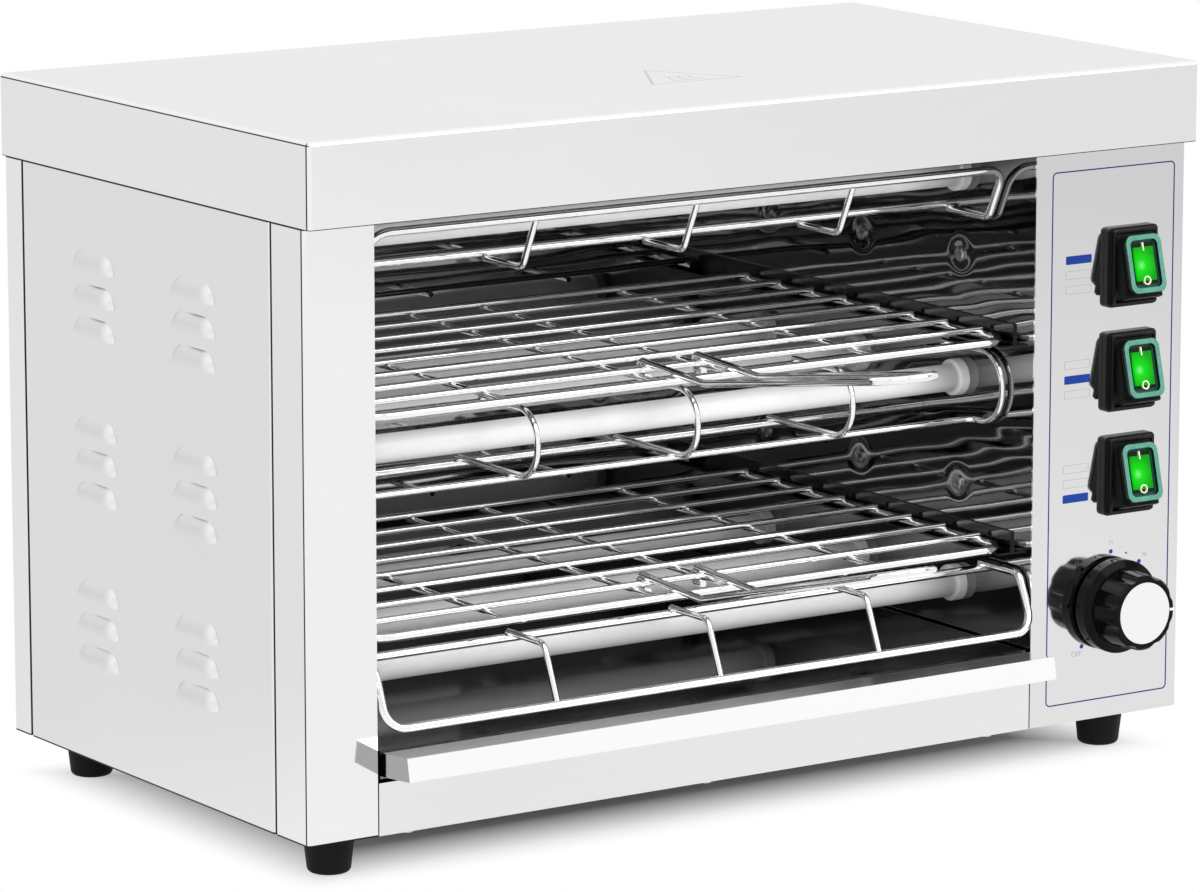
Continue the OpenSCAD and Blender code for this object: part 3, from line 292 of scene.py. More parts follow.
# finishes, with the grain drawn out along the axis that a sheet was brushed or rolled
alongX = (0.02, 1, 1)
alongY = (1, 0.02, 1)
allRound = (1, 1, 1)
brushedSheet = {"metallic": 1, "fineScale": 2600, "broadScale": 6, "fineDepth": 0.004 * mm,
                "broadDepth": 0.05 * mm}
lidSheet = {**brushedSheet, "dark": grey(0.91), "light": grey(0.94), "smoothest": 0.16, "roughest": 0.22,
            "stretch": alongX}
lidSteel = {**lidSheet, "name": "lidSteel", "seams": lidShadeLines, "sign": hotSign}
rearSteel = {**lidSheet, "name": "rearSteel", "seams": [rearShadeLine, underLid, footShadeLine]}
sideSteel = {**brushedSheet, "name": "sideSteel", "dark": grey(0.85), "light": grey(0.89),
             "smoothest": 0.20, "roughest": 0.28, "stretch": alongY,
             # roofShade: colour of the painted shade on the louvre roofs
             "seams": panelShadeLines + [underLid, footShadeLine], "roofShade": grey(0.74)}
polishedSheet = {"metallic": 1, "smoothest": 0.05, "roughest": 0.08, "stretch": alongX, "fineScale": 2600,
                 "broadScale": 9, "fineDepth": 0.0004 * mm, "broadDepth": 0.02 * mm}
frontSteel = {**polishedSheet, "name": "frontSteel", "dark": grey(0.87), "light": grey(0.91),
              "seams": [postShadeLine, underLid, footShadeLine]}
panelSteel = {**polishedSheet, "name": "panelSteel", "dark": grey(0.76), "light": grey(0.79)}
# bottom rail steel darker than the front steel: painted shade below the lip
shadedSillSteel = {**polishedSheet, "name": "shadedSillSteel", "dark": grey(0.81), "light": grey(0.84)}
baseSteel = {"name": "baseSteel", "metallic": 1, "dark": (0.30, 0.30, 0.31), "light": (0.42, 0.42, 0.43),
             "smoothest": 0.4, "roughest": 0.55, "stretch": allRound, "fineScale": 700, "broadScale": 40,
             "fineDepth": 0.01 * mm, "broadDepth": 0.05 * mm}
# lip steel lighter than the front steel as a painted highlight; its end faces get a painted shade
litLipSteel = {**polishedSheet, "name": "litLipSteel", "dark": grey(0.95), "light": grey(0.98),
            "smoothest": 0.1, "roughest": 0.16, "side": grey(0.42), "outward": (0, -0.7, 0.7)}
# tray steel coloured far darker than bare steel as painted shade inside the cavity
traySteel = {"name": "traySteel", "metallic": 1, "dark": grey(0.17), "light": grey(0.24),
             "smoothest": 0.04, "roughest": 0.09, "stretch": alongX, "fineScale": 1800, "broadScale": 14,
             "fineDepth": 0.002 * mm, "broadDepth": 0.2 * mm}
railSteel = {"name": "railSteel", "metallic": 1, "dark": grey(0.07), "light": grey(0.11),
             "smoothest": 0.12, "roughest": 0.25, "stretch": (1, 0.05, 1), "fineScale": 1800,
             "broadScale": 20, "fineDepth": 0.002 * mm, "broadDepth": 0.1 * mm}
chromeWire = {"name": "chromeWire", "metallic": 1, "dark": grey(0.90), "light": grey(0.95),
              "smoothest": 0.05, "roughest": 0.10, "stretch": allRound, "fineScale": 900, "broadScale": 60,
              "fineDepth": 0.002 * mm, "broadDepth": 0.03 * mm}
platedSteel = {"name": "platedSteel", "metallic": 1, "dark": (0.58, 0.58, 0.56), "light": (0.68, 0.68, 0.66),
               "smoothest": 0.2, "roughest": 0.35, "stretch": allRound, "fineScale": 1200,
               "broadScale": 200, "fineDepth": 0.01 * mm, "broadDepth": 0.02 * mm}
capCeramic = {"name": "capCeramic", "dark": (0.84, 0.84, 0.81), "light": (0.92, 0.92, 0.90),
              "smoothest": 0.45, "roughest": 0.6, "stretch": allRound, "fineScale": 1500,
              "broadScale": 120, "fineDepth": 0.02 * mm, "broadDepth": 0.05 * mm}
coilWire = {"name": "coilWire", "metallic": 1, "dark": (0.30, 0.27, 0.25), "light": (0.45, 0.42, 0.40),
            "smoothest": 0.3, "roughest": 0.5, "stretch": (1, 0, 0), "fineScale": 2000, "broadScale": 100,
            "fineDepth": 0.1 * mm, "broadDepth": 0.02 * mm}
switchPlastic = {"name": "switchPlastic", "dark": grey(0.004), "light": grey(0.007), "specular": 0.25,
                 "smoothest": 0.3, "roughest": 0.42, "stretch": allRound, "fineScale": 2500,
                 "broadScale": 80, "fineDepth": 0.012 * mm, "broadDepth": 0.05 * mm, "edge": 0.7 * mm}
knobPlastic = {"name": "knobPlastic", "dark": grey(0.003), "light": grey(0.006), "specular": 0.08,
               "smoothest": 0.1, "roughest": 0.16, "stretch": allRound, "fineScale": 3000,
               "broadScale": 120, "fineDepth": 0.004 * mm, "broadDepth": 0.03 * mm, "edge": 0.6 * mm}
footRubber = {"name": "footRubber", "dark": grey(0.004), "light": grey(0.008), "specular": 0.15,
              "smoothest": 0.5, "roughest": 0.7, "stretch": allRound, "fineScale": 2000, "broadScale": 60,
              "fineDepth": 0.03 * mm, "broadDepth": 0.1 * mm}
# the seal's faces that turn away from the rocker's front are painted near black as shade
sealTeal = {"name": "sealTeal", "dark": (0.06, 0.25, 0.175), "light": (0.12, 0.36, 0.275),
            "side": (0.006, 0.016, 0.012), "outward": rockerOut, "specular": 0.3, "coat": 0.15,
            "coatRoughness": 0.1, "smoothest": 0.18, "roughest": 0.3, "stretch": allRound,
            "fineScale": 1200, "broadScale": 180, "fineDepth": 0.005 * mm, "broadDepth": 0.03 * mm,
            "edge": 0.6 * mm}
markWhite = {"name": "markWhite", "dark": (0.82, 0.78, 0.58), "light": (0.9, 0.87, 0.68),
             "smoothest": 0.4, "roughest": 0.5, "stretch": allRound, "fineScale": 2000, "broadScale": 300,
             "fineDepth": 0.005 * mm, "broadDepth": 0.01 * mm}
pointerWhite = {**markWhite, "name": "pointerWhite", "dark": (0.78, 0.78, 0.77), "light": (0.85, 0.85, 0.84)}
printInk = {"metallic": 1, "smoothest": 0.05, "roughest": 0.09, "stretch": allRound, "fineScale": 4000,
            "broadScale": 200, "fineDepth": 0.002 * mm, "broadDepth": 0.005 * mm}
blueInk = {**printInk, "name": "blueInk", "dark": (0.022, 0.065, 0.36), "light": (0.03, 0.085, 0.44)}
navyInk = {**printInk, "name": "navyInk", "dark": (0.016, 0.04, 0.19), "light": (0.022, 0.055, 0.24)}
greyInk = {**printInk, "name": "greyInk", "dark": (0.56, 0.56, 0.58), "light": (0.64, 0.64, 0.66)}
finishes = {finish["name"]: makeFinish(finish) for finish in (
    lidSteel, rearSteel, sideSteel, frontSteel, panelSteel, shadedSillSteel, baseSteel, litLipSteel, traySteel,
    railSteel, chromeWire, platedSteel, capCeramic, coilWire, switchPlastic, knobPlastic, footRubber,
    sealTeal, markWhite, pointerWhite, blueInk, navyInk, greyInk)}

# liner colours far darker than bare steel: painted shade for the deep cavity
mirrorSteel = {"name": "mirrorSteel", "dark": (0.22, 0.22, 0.225), "light": grey(0.31), "smooth": 0.03,
               "wave": (6, 9, 34), "waveDetail": 0.6, "waveTwist": 0.4, "waveDepth": 0.4 * mm,
               "screwHead": 7 * mm, "screwsInRow": 3, "dentSize": 13 * mm, "dentDepth": 0.3 * mm}


def makeMirror(finish):  # thin polished sheet, coloured far darker than bare steel as painted shade for the deep cavity: long ripples, and dents where the screws pull it
    material, tree, shader = startMaterial(finish["name"])
    coords = addNode(tree, "ShaderNodeTexCoord")
    stretched = addNode(tree, "ShaderNodeMapping")
    stretched.inputs["Scale"].default_value = finish["wave"]
    join(tree, coords.outputs["Object"], stretched.inputs["Vector"])
    ripple = addNode(tree, "ShaderNodeTexNoise")
    ripple.inputs["Scale"].default_value = 1
    ripple.inputs["Detail"].default_value = finish["waveDetail"]
    ripple.inputs["Distortion"].default_value = finish["waveTwist"]
    join(tree, stretched.outputs["Vector"], ripple.inputs["Vector"])
    wave = ripple.outputs["Fac"]
    place = axesOf(tree, "Object")
    screwLow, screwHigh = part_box("wall_screws")
    inset = finish["screwHead"] / 2
    firstY = screwLow[1] + inset
    pitch = (screwHigh[1] - inset - firstY) / (finish["screwsInRow"] - 1)
    along = fromNearest(tree, place["Y"], firstY, pitch)
    fromLow = mathNode(tree, "SUBTRACT", place["Z"], screwLow[2] + inset)
    fromHigh = mathNode(tree, "SUBTRACT", place["Z"], screwHigh[2] - inset)
    up = mathNode(tree, "MINIMUM", mathNode(tree, "ABSOLUTE", fromLow), mathNode(tree, "ABSOLUTE", fromHigh))
    dent = addNode(tree, "ShaderNodeMapRange", interpolation_type="SMOOTHERSTEP")
    join(tree, straightLine(tree, along, up), dent.inputs["Value"])
    dent.inputs["From Max"].default_value = finish["dentSize"]
    join(tree, mixColor(tree, wave, finish["dark"], finish["light"]), shader.inputs["Base Color"])
    shader.inputs["Metallic"].default_value = 1
    shader.inputs["Roughness"].default_value = finish["smooth"]
    rippled = addBump(tree, wave, finish["waveDepth"])
    dented = addBump(tree, dent.outputs["Result"], finish["dentDepth"], rippled)
    join(tree, dented, shader.inputs["Normal"])
    return material


milkyQuartz = {"name": "milkyQuartz", "white": (0.92, 0.92, 0.91), "grey": grey(0.42),
               "clearFrom": 145 * mm, "clearTo": 176 * mm, "stretch": (0.2, 1, 1), "fineScale": 300,
               "broadScale": 40, "cloudSpan": (0.35, 0.65), "cloud": 0.12, "smoothest": 0.28,
               "roughest": 0.42, "grainDepth": 0.03 * mm, "paintedGlow": 0.1, "soft": 0.1, "softReach": 4 * mm,
               "coat": 0.2}


def makeQuartz(finish):  # white along the tube and grey towards both ends
    material, tree, shader = startMaterial(finish["name"])
    tubeX = middleOf("quartz_tube_middle_front")[0]
    fromMiddle = mathNode(tree, "SUBTRACT", axesOf(tree, "Object")["X"], tubeX)
    outward = mathNode(tree, "ABSOLUTE", fromMiddle)
    toEnd = mapRange(tree, outward, finish["clearFrom"], finish["clearTo"], 0, 1)
    grain = addGrain(tree, finish)
    cloud = mapRange(tree, grain["Broad"], *finish["cloudSpan"], 0, finish["cloud"])
    color = mixColor(tree, mathNode(tree, "ADD", toEnd, cloud), finish["white"], finish["grey"])
    join(tree, color, shader.inputs["Base Color"])
    join(tree, color, shader.inputs["Emission Color"])
    shader.inputs["Emission Strength"].default_value = finish["paintedGlow"]  # painted glow: the tube gives off a little light of its own colour so its shaded side stays bright
    rough = mapRange(tree, grain["Fine"], *noiseSpan, finish["smoothest"], finish["roughest"])
    join(tree, rough, shader.inputs["Roughness"])
    shader.inputs["Subsurface Weight"].default_value = finish["soft"]
    shader.inputs["Subsurface Radius"].default_value = [finish["softReach"]] * 3
    shader.inputs["Subsurface Scale"].default_value = 1
    shader.inputs["Coat Weight"].default_value = finish["coat"]
    join(tree, addBump(tree, grain["Fine"], finish["grainDepth"]), shader.inputs["Normal"])
    return material


litLens = {"name": "litLens", "deep": (0.0, 0.33, 0.0), "bright": (0.0, 0.74, 0.004),
           "hot": (0.22, 1.0, 0.24), "plastic": (0.0, 0.05, 0.0), "hotAcross": -2.4 * mm,
           "hotUp": -0.5 * mm, "hotSize": 2.6 * mm, "glowFrom": 3.12 * mm, "glowTo": 8.84 * mm,
           "glow": 0.9, "smooth": 0.2, "specular": 0.15}


def makeLens(finish):  # a lamp behind the lens makes a soft hot spot
    material, tree, shader = startMaterial(finish["name"])
    middle = middleOf("bottom_rocker_lens")
    place = axesOf(tree, "Object")
    across = mathNode(tree, "SUBTRACT", place["X"], middle[0] + finish["hotAcross"])
    up = fromNearest(tree, place["Z"], middle[2] + finish["hotUp"], switchPitch)
    reach = straightLine(tree, across, up)
    glow = mapRange(tree, reach, finish["glowFrom"], finish["glowTo"], 0, 1)
    spot = mapRange(tree, reach, 0, finish["hotSize"], 0, 1)
    body = mixColor(tree, glow, finish["bright"], finish["deep"])
    join(tree, mixColor(tree, spot, finish["hot"], body), shader.inputs["Emission Color"])
    shader.inputs["Emission Strength"].default_value = finish["glow"]
    shader.inputs["Base Color"].default_value = (*finish["plastic"], 1)
    shader.inputs["Roughness"].default_value = finish["smooth"]
    shader.inputs["Specular IOR Level"].default_value = finish["specular"]
    return material


# oliveShade: painted shade around the lens inside the window
bootRubber = {"name": "bootRubber", "black": (0.005, 0.007, 0.006), "oliveShade": (0.006, 0.016, 0.007),
              "teal": (0.03, 0.13, 0.095), "tealFade": 0.6, "rim": 2.4 * mm, "cloudScale": 900,
              "smoothest": 0.35, "roughest": 0.5, "specular": 0.1, "edge": 0.5 * mm}


def makeBoot(finish):  # black rubber, with a window painted teal at its rim that darkens to an olive painted shade around the lens
    material, tree, shader = startMaterial(finish["name"])
    rimLow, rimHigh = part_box("bottom_rocker_seal")
    lensLow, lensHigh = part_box("bottom_rocker_lens")
    middle = middleOf("bottom_rocker_seal")
    place = axesOf(tree, "Object")
    depths = []
    for axis, away in ((0, mathNode(tree, "SUBTRACT", place["X"], middle[0])),
                       (2, fromNearest(tree, place["Z"], middle[2], switchPitch))):
        windowHalf = (rimHigh[axis] - rimLow[axis]) / 2 - finish["rim"]
        lensHalf = (lensHigh[axis] - lensLow[axis]) / 2
        depths.append(mapRange(tree, mathNode(tree, "ABSOLUTE", away), windowHalf, lensHalf, 0, 1))
    depth = mathNode(tree, "MINIMUM", depths[0], depths[1])
    atFront = mathNode(tree, "GREATER_THAN", facing(tree, rockerOut), faceLimits["window"])
    inWindow = mathNode(tree, "MULTIPLY", mathNode(tree, "GREATER_THAN", depth, 0), atFront)
    toShade = mapRange(tree, depth, 0, finish["tealFade"], 0, 1)
    window = mixColor(tree, toShade, finish["teal"], finish["oliveShade"])
    join(tree, mixColor(tree, inWindow, finish["black"], window), shader.inputs["Base Color"])
    coords = addNode(tree, "ShaderNodeTexCoord")
    cloud = addNode(tree, "ShaderNodeTexNoise")
    cloud.inputs["Scale"].default_value = finish["cloudScale"]
    join(tree, coords.outputs["Object"], cloud.inputs["Vector"])
    rough = mapRange(tree, cloud.outputs["Fac"], *noiseSpan, finish["smoothest"], finish["roughest"])
    join(tree, rough, shader.inputs["Roughness"])
    shader.inputs["Specular IOR Level"].default_value = finish["specular"]
    join(tree, roundEdges(tree, finish["edge"]), shader.inputs["Normal"])
    return material


discMetal = {"name": "discMetal", "dark": grey(0.88), "light": grey(0.93), "rings": 2600, "metallic": 0.85,
             "smoothest": 0.26, "roughest": 0.36}


def makeDisc(finish):  # spun rings round the knob axis
    material, tree, shader = startMaterial(finish["name"])
    coords = addNode(tree, "ShaderNodeTexCoord")
    centre = addNode(tree, "ShaderNodeMapping")
    centre.inputs["Location"].default_value = [-place for place in middleOf("knob_disc")]
    join(tree, coords.outputs["Object"], centre.inputs["Vector"])
    length = addNode(tree, "ShaderNodeVectorMath", operation="LENGTH")
    join(tree, centre.outputs["Vector"], length.inputs[0])
    turns = mathNode(tree, "MULTIPLY", length.outputs["Value"], finish["rings"] * math.tau)
    wave = mathNode(tree, "SINE", turns)
    spread = mapRange(tree, wave, -1, 1, 0, 1)
    join(tree, mixColor(tree, spread, finish["dark"], finish["light"]), shader.inputs["Base Color"])
    rough = mapRange(tree, wave, -1, 1, finish["smoothest"], finish["roughest"])
    join(tree, rough, shader.inputs["Roughness"])
    shader.inputs["Metallic"].default_value = finish["metallic"]
    return material


finishes["mirrorSteel"] = makeMirror(mirrorSteel)
finishes["milkyQuartz"] = makeQuartz(milkyQuartz)
finishes["litLens"] = makeLens(litLens)
finishes["bootRubber"] = makeBoot(bootRubber)
finishes["discMetal"] = makeDisc(discMetal)

wear = {
    "lidSteel": ["top_cover"],
    "rearSteel": ["rear_panel"],
    "baseSteel": ["base_plate"],
    "sideSteel": ["left_side_panel", "right_side_panel"],
    "frontSteel": ["left_pillar"],
    "shadedSillSteel": ["bottom_rail"],
    "panelSteel": ["control_panel"],
    "litLipSteel": ["tray_lip"],
    "mirrorSteel": ["cavity_left_wall", "cavity_right_wall", "cavity_back_wall", "cavity_ceiling"],
    "railSteel": ["upper_rack_rails", "lower_rack_rails", "tray_runners"],
    "traySteel": ["crumb_tray"],
    "chromeWire": ["upper_rack", "lower_rack", "upper_rack_handle", "lower_rack_handle", "top_guard",
                   "middle_guard", "bottom_guard"],
    "platedSteel": ["tube_terminals", "timer_shaft", "timer_body", "foot_screws", "wall_screws",
                    "rail_screws"],
    "capCeramic": ["left_ceramic_caps", "right_ceramic_caps", "terminal_block"],
    "coilWire": ["heating_coils"],
    "switchPlastic": ["top_switch_housing", "middle_switch_housing", "bottom_switch_housing", "cord_bush"],
    "bootRubber": ["top_rocker", "middle_rocker", "bottom_rocker"],
    "sealTeal": ["top_rocker_seal", "middle_rocker_seal", "bottom_rocker_seal"],
    "litLens": ["top_rocker_lens", "middle_rocker_lens", "bottom_rocker_lens"],
    "knobPlastic": ["timer_knob"],
    "discMetal": ["knob_disc"],
    "footRubber": ["feet"],
    "milkyQuartz": [name for name in nodes if name.startswith("quartz_tube")],
}
for finishName, wearers in wear.items():
    for wearer in wearers:
        mesh = nodes[wearer].data
        mesh.materials.clear()
        mesh.materials.append(finishes[finishName])
dressed = {wearer for wearers in wear.values() for wearer in wearers}
print("finishes set on", len(dressed), "of", len(nodes), "nodes")


# modelling by hand: start from a primitive, shape it in edit mode, then settle it in place
def clearSelection():
    if bpy.context.object and bpy.context.object.mode != "OBJECT":
        bpy.ops.object.mode_set(mode="OBJECT")
    bpy.ops.object.select_all(action="DESELECT")


def settle(name, body, finishName):
    if bpy.context.object.mode != "OBJECT":
        bpy.ops.object.mode_set(mode="OBJECT")
    bpy.ops.object.transform_apply(location=True, rotation=True, scale=True)
    piece = bpy.context.object
    piece.name = name
    piece.data.name = name
    piece.data.materials.clear()
    piece.data.materials.append(finishes[finishName])
    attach(piece, body)


def thicken(depth):
    piece = bpy.context.object
    layer = piece.modifiers.new("thickness", "SOLIDIFY")
    layer.thickness = depth
    layer.offset = 1
    bpy.ops.object.modifier_apply(modifier=layer.name)


def resize(scale):
    bpy.context.object.scale = scale
    bpy.ops.object.transform_apply(location=False, rotation=False, scale=True)


def keepRim(line):  # in edit mode, leaves a rim of a flat face
    bpy.ops.mesh.select_all(action="SELECT")
    bpy.ops.mesh.inset(thickness=line)
    bpy.ops.mesh.delete(type="FACE")


def roundedBlock(size, place, turn, edge):
    clearSelection()
    bpy.ops.mesh.primitive_cube_add(size=1, location=place, rotation=turn)
    resize(size)
    bpy.ops.object.mode_set(mode="EDIT")
    bpy.ops.mesh.select_all(action="SELECT")
    bpy.ops.mesh.bevel(offset=edge, segments=2)


upright = (math.pi / 2, 0, 0)  # turns a flat shape to face the front
panelInk = {"lift": 0.03 * mm, "depth": 0.05 * mm, "line": 0.6 * mm, "corner": 2.5 * mm, "cornerSteps": 6,
            "left": 164.4 * mm, "right": 237.5 * mm, "low": 29 * mm, "high": 285.2 * mm,
            "barLeft": 173 * mm, "barRight": 188.2 * mm, "barHigh": 4 * mm, "barPitch": 7.1 * mm,
            "barDrop": 1.8 * mm, "barCorner": 0.5 * mm, "thinLine": 0.22 * mm}


def printedPlate(left, right, low, high, corner, line=None):
    clearSelection()
    middle = ((left + right) / 2, frontY - panelInk["lift"], (low + high) / 2)
    bpy.ops.mesh.primitive_plane_add(size=1, location=middle, rotation=upright)
    resize((right - left, high - low, 1))
    bpy.ops.object.mode_set(mode="EDIT")
    bpy.ops.mesh.select_all(action="SELECT")
    bpy.ops.mesh.bevel(offset=corner, affect="VERTICES", segments=panelInk["cornerSteps"])
    if line:
        keepRim(line)
    bpy.ops.object.mode_set(mode="OBJECT")
    thicken(panelInk["depth"])


printedPlate(panelInk["left"], panelInk["right"], panelInk["low"], panelInk["high"], panelInk["corner"],
             panelInk["line"])
settle("panel_border", "cabinet", "navyInk")
for level, name in enumerate(levels):
    switchZ = middleOf(name + "_switch_housing")[2]
    for row in range(len(levels)):  # three bars by each switch, and the one of its own level is filled
        barZ = switchZ + (1 - row) * panelInk["barPitch"] - panelInk["barDrop"]
        barHalf = panelInk["barHigh"] / 2
        filled = row == level
        printedPlate(panelInk["barLeft"], panelInk["barRight"], barZ - barHalf, barZ + barHalf,
                     panelInk["barCorner"], None if filled else panelInk["thinLine"])
        ink = "blueInk" if filled else "greyInk"
        settle(f"level_bar_{name}_{row}", "cabinet", ink)
print("panel print done")

dial = {"radius": 25.3 * mm, "offAngle": 221.7, "firstAngle": 274, "step": 43, "marks": 6, "minutes": 5,
        "big": 1.1 * mm, "small": 0.5 * mm, "dotCorners": 24, "numberRadius": 29.6 * mm,
        "numberSize": 3.0 * mm, "offRadius": 29.9 * mm, "offSize": 3.6 * mm}
knobMiddle = middleOf("timer_knob")
dialX = knobMiddle[0]
dialZ = knobMiddle[2]


def dialPoint(radius, angle):  # clockwise from the top
    turn = math.radians(angle)
    return dialX + radius * math.sin(turn), frontY - panelInk["lift"], dialZ + radius * math.cos(turn)


def printedDot(name, angle, radius):
    clearSelection()
    place = dialPoint(dial["radius"], angle)
    bpy.ops.mesh.primitive_circle_add(vertices=dial["dotCorners"], radius=radius, fill_type="NGON",
                                      location=place, rotation=upright)
    thicken(panelInk["depth"])
    settle(name, "cabinet", "blueInk")


def printedWord(name, words, place, size):
    clearSelection()
    bpy.ops.object.text_add(location=(0, 0, 0))
    word = bpy.context.object
    word.data.body = words
    word.data.size = size
    word.data.align_x = "CENTER"
    word.data.align_y = "CENTER"
    bpy.ops.object.convert(target="MESH")
    word = bpy.context.object
    word.location = place
    word.rotation_euler = upright
    thicken(panelInk["depth"])
    settle(name, "cabinet", "greyInk")


printedDot("dial_dot_off", dial["offAngle"], dial["big"])
printedWord("dial_word_off", "OFF", dialPoint(dial["offRadius"], dial["offAngle"]), dial["offSize"])
for mark in range(dial["marks"]):
    angle = dial["firstAngle"] + mark * dial["step"]
    printedDot(f"dial_dot_{mark}", angle, dial["big"])
    number = str(dial["minutes"] * (mark + 1))
    printedWord(f"dial_number_{mark}", number, dialPoint(dial["numberRadius"], angle), dial["numberSize"])
    if mark:
        printedDot(f"dial_half_dot_{mark}", angle - dial["step"] / 2, dial["small"])
print("dial print done")

rocker = {"pivotOut": 3.2 * mm, "lensOut": 9.5 * mm, "proud": 0.07 * mm, "barUp": 8.2 * mm,
          "barHigh": 4.0 * mm, "barWide": 0.8 * mm, "barDeep": 1.2 * mm, "barEdge": 0.15 * mm,
          "ringUp": -7.9 * mm, "ringSize": 2.15 * mm, "ringLine": 0.6 * mm, "ringDeep": 1.15 * mm,
          "ringCorners": 40}


def rockerPoint(name, out, up):
    middle = middleOf(name + "_switch_housing")
    y = frontY - rocker["pivotOut"] - out * math.cos(rockerTilt) + up * math.sin(rockerTilt)
    z = middle[2] + out * math.sin(rockerTilt) + up * math.cos(rockerTilt)
    return middle[0], y, z


faceTurn = (math.pi / 2 - rockerTilt, 0, 0)
markOut = rocker["lensOut"] + rocker["proud"]  # the marks stand a little proud of the lens
for name in levels:
    barPlace = rockerPoint(name, markOut - rocker["barDeep"] / 2, rocker["barUp"])
    barSize = (rocker["barWide"], rocker["barHigh"], rocker["barDeep"])
    roundedBlock(barSize, barPlace, faceTurn, rocker["barEdge"])
    settle(f"{name}_rocker_on_mark", f"{name}_rocker", "markWhite")
    clearSelection()
    ringPlace = rockerPoint(name, markOut - rocker["ringDeep"], rocker["ringUp"])
    bpy.ops.mesh.primitive_circle_add(vertices=rocker["ringCorners"], radius=rocker["ringSize"],
                                      fill_type="NGON", location=ringPlace, rotation=faceTurn)
    bpy.ops.object.mode_set(mode="EDIT")
    keepRim(rocker["ringLine"])
    bpy.ops.object.mode_set(mode="OBJECT")
    thicken(rocker["ringDeep"])
    settle(f"{name}_rocker_off_mark", f"{name}_rocker", "markWhite")
print("switch marks done")

pointer = {"inner": 15.2 * mm, "outer": 17.7 * mm, "wide": 1.4 * mm, "high": 2.7 * mm, "back": 0.1 * mm,
           "edge": 0.2 * mm}
pointerX = dialX + (pointer["inner"] + pointer["outer"]) / 2
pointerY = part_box("timer_knob")[0][1] + pointer["high"] / 2 + pointer["back"]
pointerSize = (pointer["outer"] - pointer["inner"], pointer["high"], pointer["wide"])
roundedBlock(pointerSize, (pointerX, pointerY, dialZ), (0, 0, 0), pointer["edge"])
settle("knob_pointer", "timer_knob", "pointerWhite")
print("knob pointer done")

# camera at the place that fits the photograph
eye = {"across": -1.6031, "inFront": 2.2526, "high": 0.7094, "azimuth": -33.889, "elevation": 10.979,
       "lens": 185.5, "sensor": 36, "farthest": 50}
clearSelection()
eyePlace = (eye["across"], frontY - eye["inFront"], eye["high"])
eyeTurn = (math.radians(90 - eye["elevation"]), 0, math.radians(eye["azimuth"]))
bpy.ops.object.camera_add(location=eyePlace, rotation=eyeTurn)
camera = bpy.context.object
camera.data.lens = eye["lens"]
camera.data.sensor_width = eye["sensor"]
camera.data.sensor_fit = "HORIZONTAL"
camera.data.clip_end = eye["farthest"]
bpy.context.scene.camera = camera
print("camera set")

# pale floor that shows white and keeps the shadow
floorLook = {"size": 12, "drop": 0.2 * mm, "color": grey(0.95), "shadeFrom": -55 * mm, "shadeTo": 4 * mm,
             "glossNear": 0.97, "glossFar": 0.80, "glossFrom": 0.5, "glossTo": 1.3, "glossBehind": 0.83,
             "behindFrom": -0.1, "behindTo": 0.3}
clearSelection()
bpy.ops.mesh.primitive_plane_add(size=floorLook["size"], location=(0, 0, -floorLook["drop"]))
floor = bpy.context.object
floor.name = "floor"
floorMaterial = bpy.data.materials.new("paleFloor")
floorMaterial.use_nodes = True
floorTree = floorMaterial.node_tree
floorTree.nodes.clear()
floorOut = addNode(floorTree, "ShaderNodeOutputMaterial")
floorMix = addNode(floorTree, "ShaderNodeMixShader")
floorDiffuse = addNode(floorTree, "ShaderNodeBsdfDiffuse")
floorDiffuse.inputs["Color"].default_value = (*floorLook["color"], 1)
floorGlow = addNode(floorTree, "ShaderNodeEmission")
floorRay = addNode(floorTree, "ShaderNodeLightPath").outputs
floorPlace = axesOf(floorTree, "Object")
baseLow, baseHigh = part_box("base_plate")
baseMiddle = middleOf("base_plate")
edges = []
for place, axis in enumerate(("X", "Y")):  # how far outside the base's outline, negative below the base
    fromMiddle = mathNode(floorTree, "SUBTRACT", floorPlace[axis], baseMiddle[place])
    baseHalf = (baseHigh[place] - baseLow[place]) / 2
    edges.append(mathNode(floorTree, "SUBTRACT", mathNode(floorTree, "ABSOLUTE", fromMiddle), baseHalf))
outside = mathNode(floorTree, "MAXIMUM", edges[0], edges[1])
whiteShare = mapRange(floorTree, outside, floorLook["shadeFrom"], floorLook["shadeTo"], 0, 1)
mirrored = mathNode(floorTree, "MAXIMUM", floorRay["Is Glossy Ray"], floorRay["Is Transmission Ray"])
seen = mathNode(floorTree, "MAXIMUM", mirrored, floorRay["Is Camera Ray"])
join(floorTree, mathNode(floorTree, "MULTIPLY", whiteShare, seen), floorMix.inputs["Fac"])
acrossGloss = mapRange(floorTree, floorPlace["X"], floorLook["glossFrom"], floorLook["glossTo"],
                       floorLook["glossNear"], floorLook["glossFar"])
behindShare = mapRange(floorTree, floorPlace["Y"], floorLook["behindFrom"], floorLook["behindTo"], 0, 1)
behindFall = mathNode(floorTree, "SUBTRACT", acrossGloss, floorLook["glossBehind"])
behindDrop = mathNode(floorTree, "MULTIPLY", behindShare, behindFall)
glossTone = mathNode(floorTree, "SUBTRACT", acrossGloss, behindDrop)
lessWhite = mathNode(floorTree, "MULTIPLY", mirrored, mathNode(floorTree, "SUBTRACT", 1, glossTone))
join(floorTree, mathNode(floorTree, "SUBTRACT", 1, lessWhite), floorGlow.inputs["Strength"])
join(floorTree, floorDiffuse.outputs[0], floorMix.inputs[1])
join(floorTree, floorGlow.outputs[0], floorMix.inputs[2])
join(floorTree, floorMix.outputs[0], floorOut.inputs["Surface"])
floor.data.materials.append(floorMaterial)

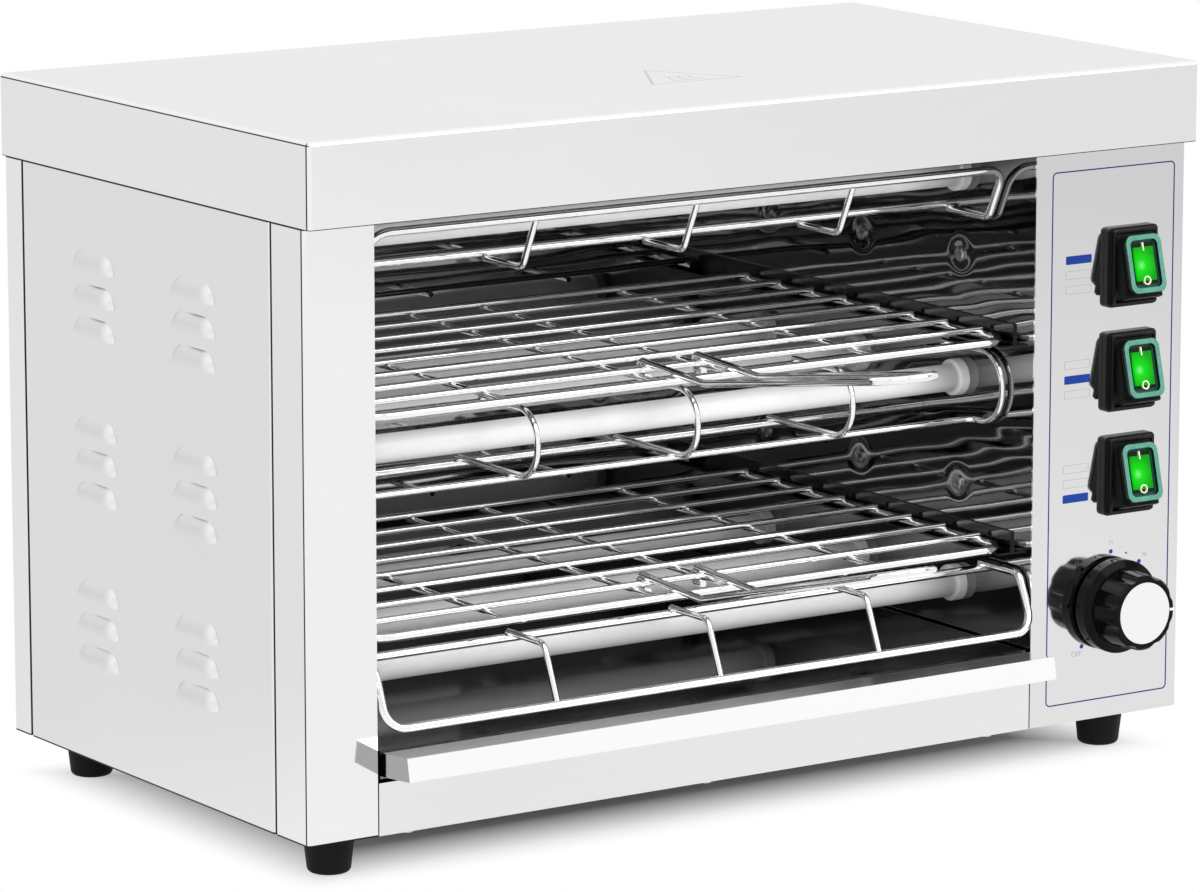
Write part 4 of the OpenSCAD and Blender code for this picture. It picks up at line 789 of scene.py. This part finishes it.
# white room, with a darker band above the floor in front that shows in the wires
room = {"diffuse": 0.8, "front": 1.0, "behind": 0.82, "high": 1.0, "turnSpan": (-0.4, 0.4),
        "climbSpan": (0, 0.6), "bandLeft": 0.16, "bandRight": 0.75, "bandRise": (0.2, 0.3),
        "bandFall": (0.6, 0.75), "bandFront": (-0.3, -0.1), "bandTurn": (0.1, 0.3)}
world = bpy.data.worlds.new("studio")
bpy.context.scene.world = world
world.use_nodes = True
worldTree = world.node_tree
background = worldTree.nodes["Background"]
worldRay = addNode(worldTree, "ShaderNodeLightPath").outputs
toSky = axesOf(worldTree, "Generated")
skyLow = mapRange(worldTree, toSky["Y"], *room["turnSpan"], room["front"], room["behind"])
skyClimb = mapRange(worldTree, toSky["Z"], *room["climbSpan"], 0, 1)
skyGain = mathNode(worldTree, "MULTIPLY", skyClimb, mathNode(worldTree, "SUBTRACT", room["high"], skyLow))
bandRise = mapRange(worldTree, toSky["Z"], *room["bandRise"], 0, 1)
bandFall = mapRange(worldTree, toSky["Z"], *room["bandFall"], 1, 0)
bandFront = mapRange(worldTree, toSky["Y"], *room["bandFront"], 1, 0)
bandShare = mapRange(worldTree, toSky["X"], *room["bandTurn"], room["bandLeft"], room["bandRight"])
bandSpan = mathNode(worldTree, "MULTIPLY", bandFront, bandShare)
band = mathNode(worldTree, "MULTIPLY", mathNode(worldTree, "MULTIPLY", bandRise, bandFall), bandSpan)
bandShade = mathNode(worldTree, "SUBTRACT", 1, band)
sky = mathNode(worldTree, "MULTIPLY", mathNode(worldTree, "ADD", skyLow, skyGain), bandShade)
inMetal = mathNode(worldTree, "MAXIMUM", worldRay["Is Glossy Ray"], worldRay["Is Transmission Ray"])
lit = mapRange(worldTree, worldRay["Is Camera Ray"], 0, 1, room["diffuse"], 1)
skyRise = mathNode(worldTree, "MULTIPLY", inMetal, mathNode(worldTree, "SUBTRACT", sky, room["diffuse"]))
join(worldTree, mathNode(worldTree, "ADD", lit, skyRise), background.inputs["Strength"])
background.inputs["Color"].default_value = (1, 1, 1, 1)

# soft discs: the key high on the left, and the fill that looks into the cavity from the right
lamps = {"key": {"power": 24, "place": (-1.2, -1.6, 2.4), "size": 2.2},
         "fill": {"power": 17, "place": (1.0, -1.6, 1.45), "size": 1.6}}
lampAim = Vector((0, 0, 0.15))
for lampName, look in lamps.items():
    clearSelection()
    bpy.ops.object.light_add(type="AREA", location=look["place"])
    lamp = bpy.context.object
    lamp.name = lampName + "_lamp"
    lamp.data.shape = "DISK"
    lamp.data.size = look["size"]
    lamp.data.energy = look["power"]
    aim = lampAim - Vector(look["place"])
    lamp.rotation_euler = aim.to_track_quat("-Z", "Y").to_euler()
bpy.context.scene.view_settings.view_transform = "Standard"
print("studio set")
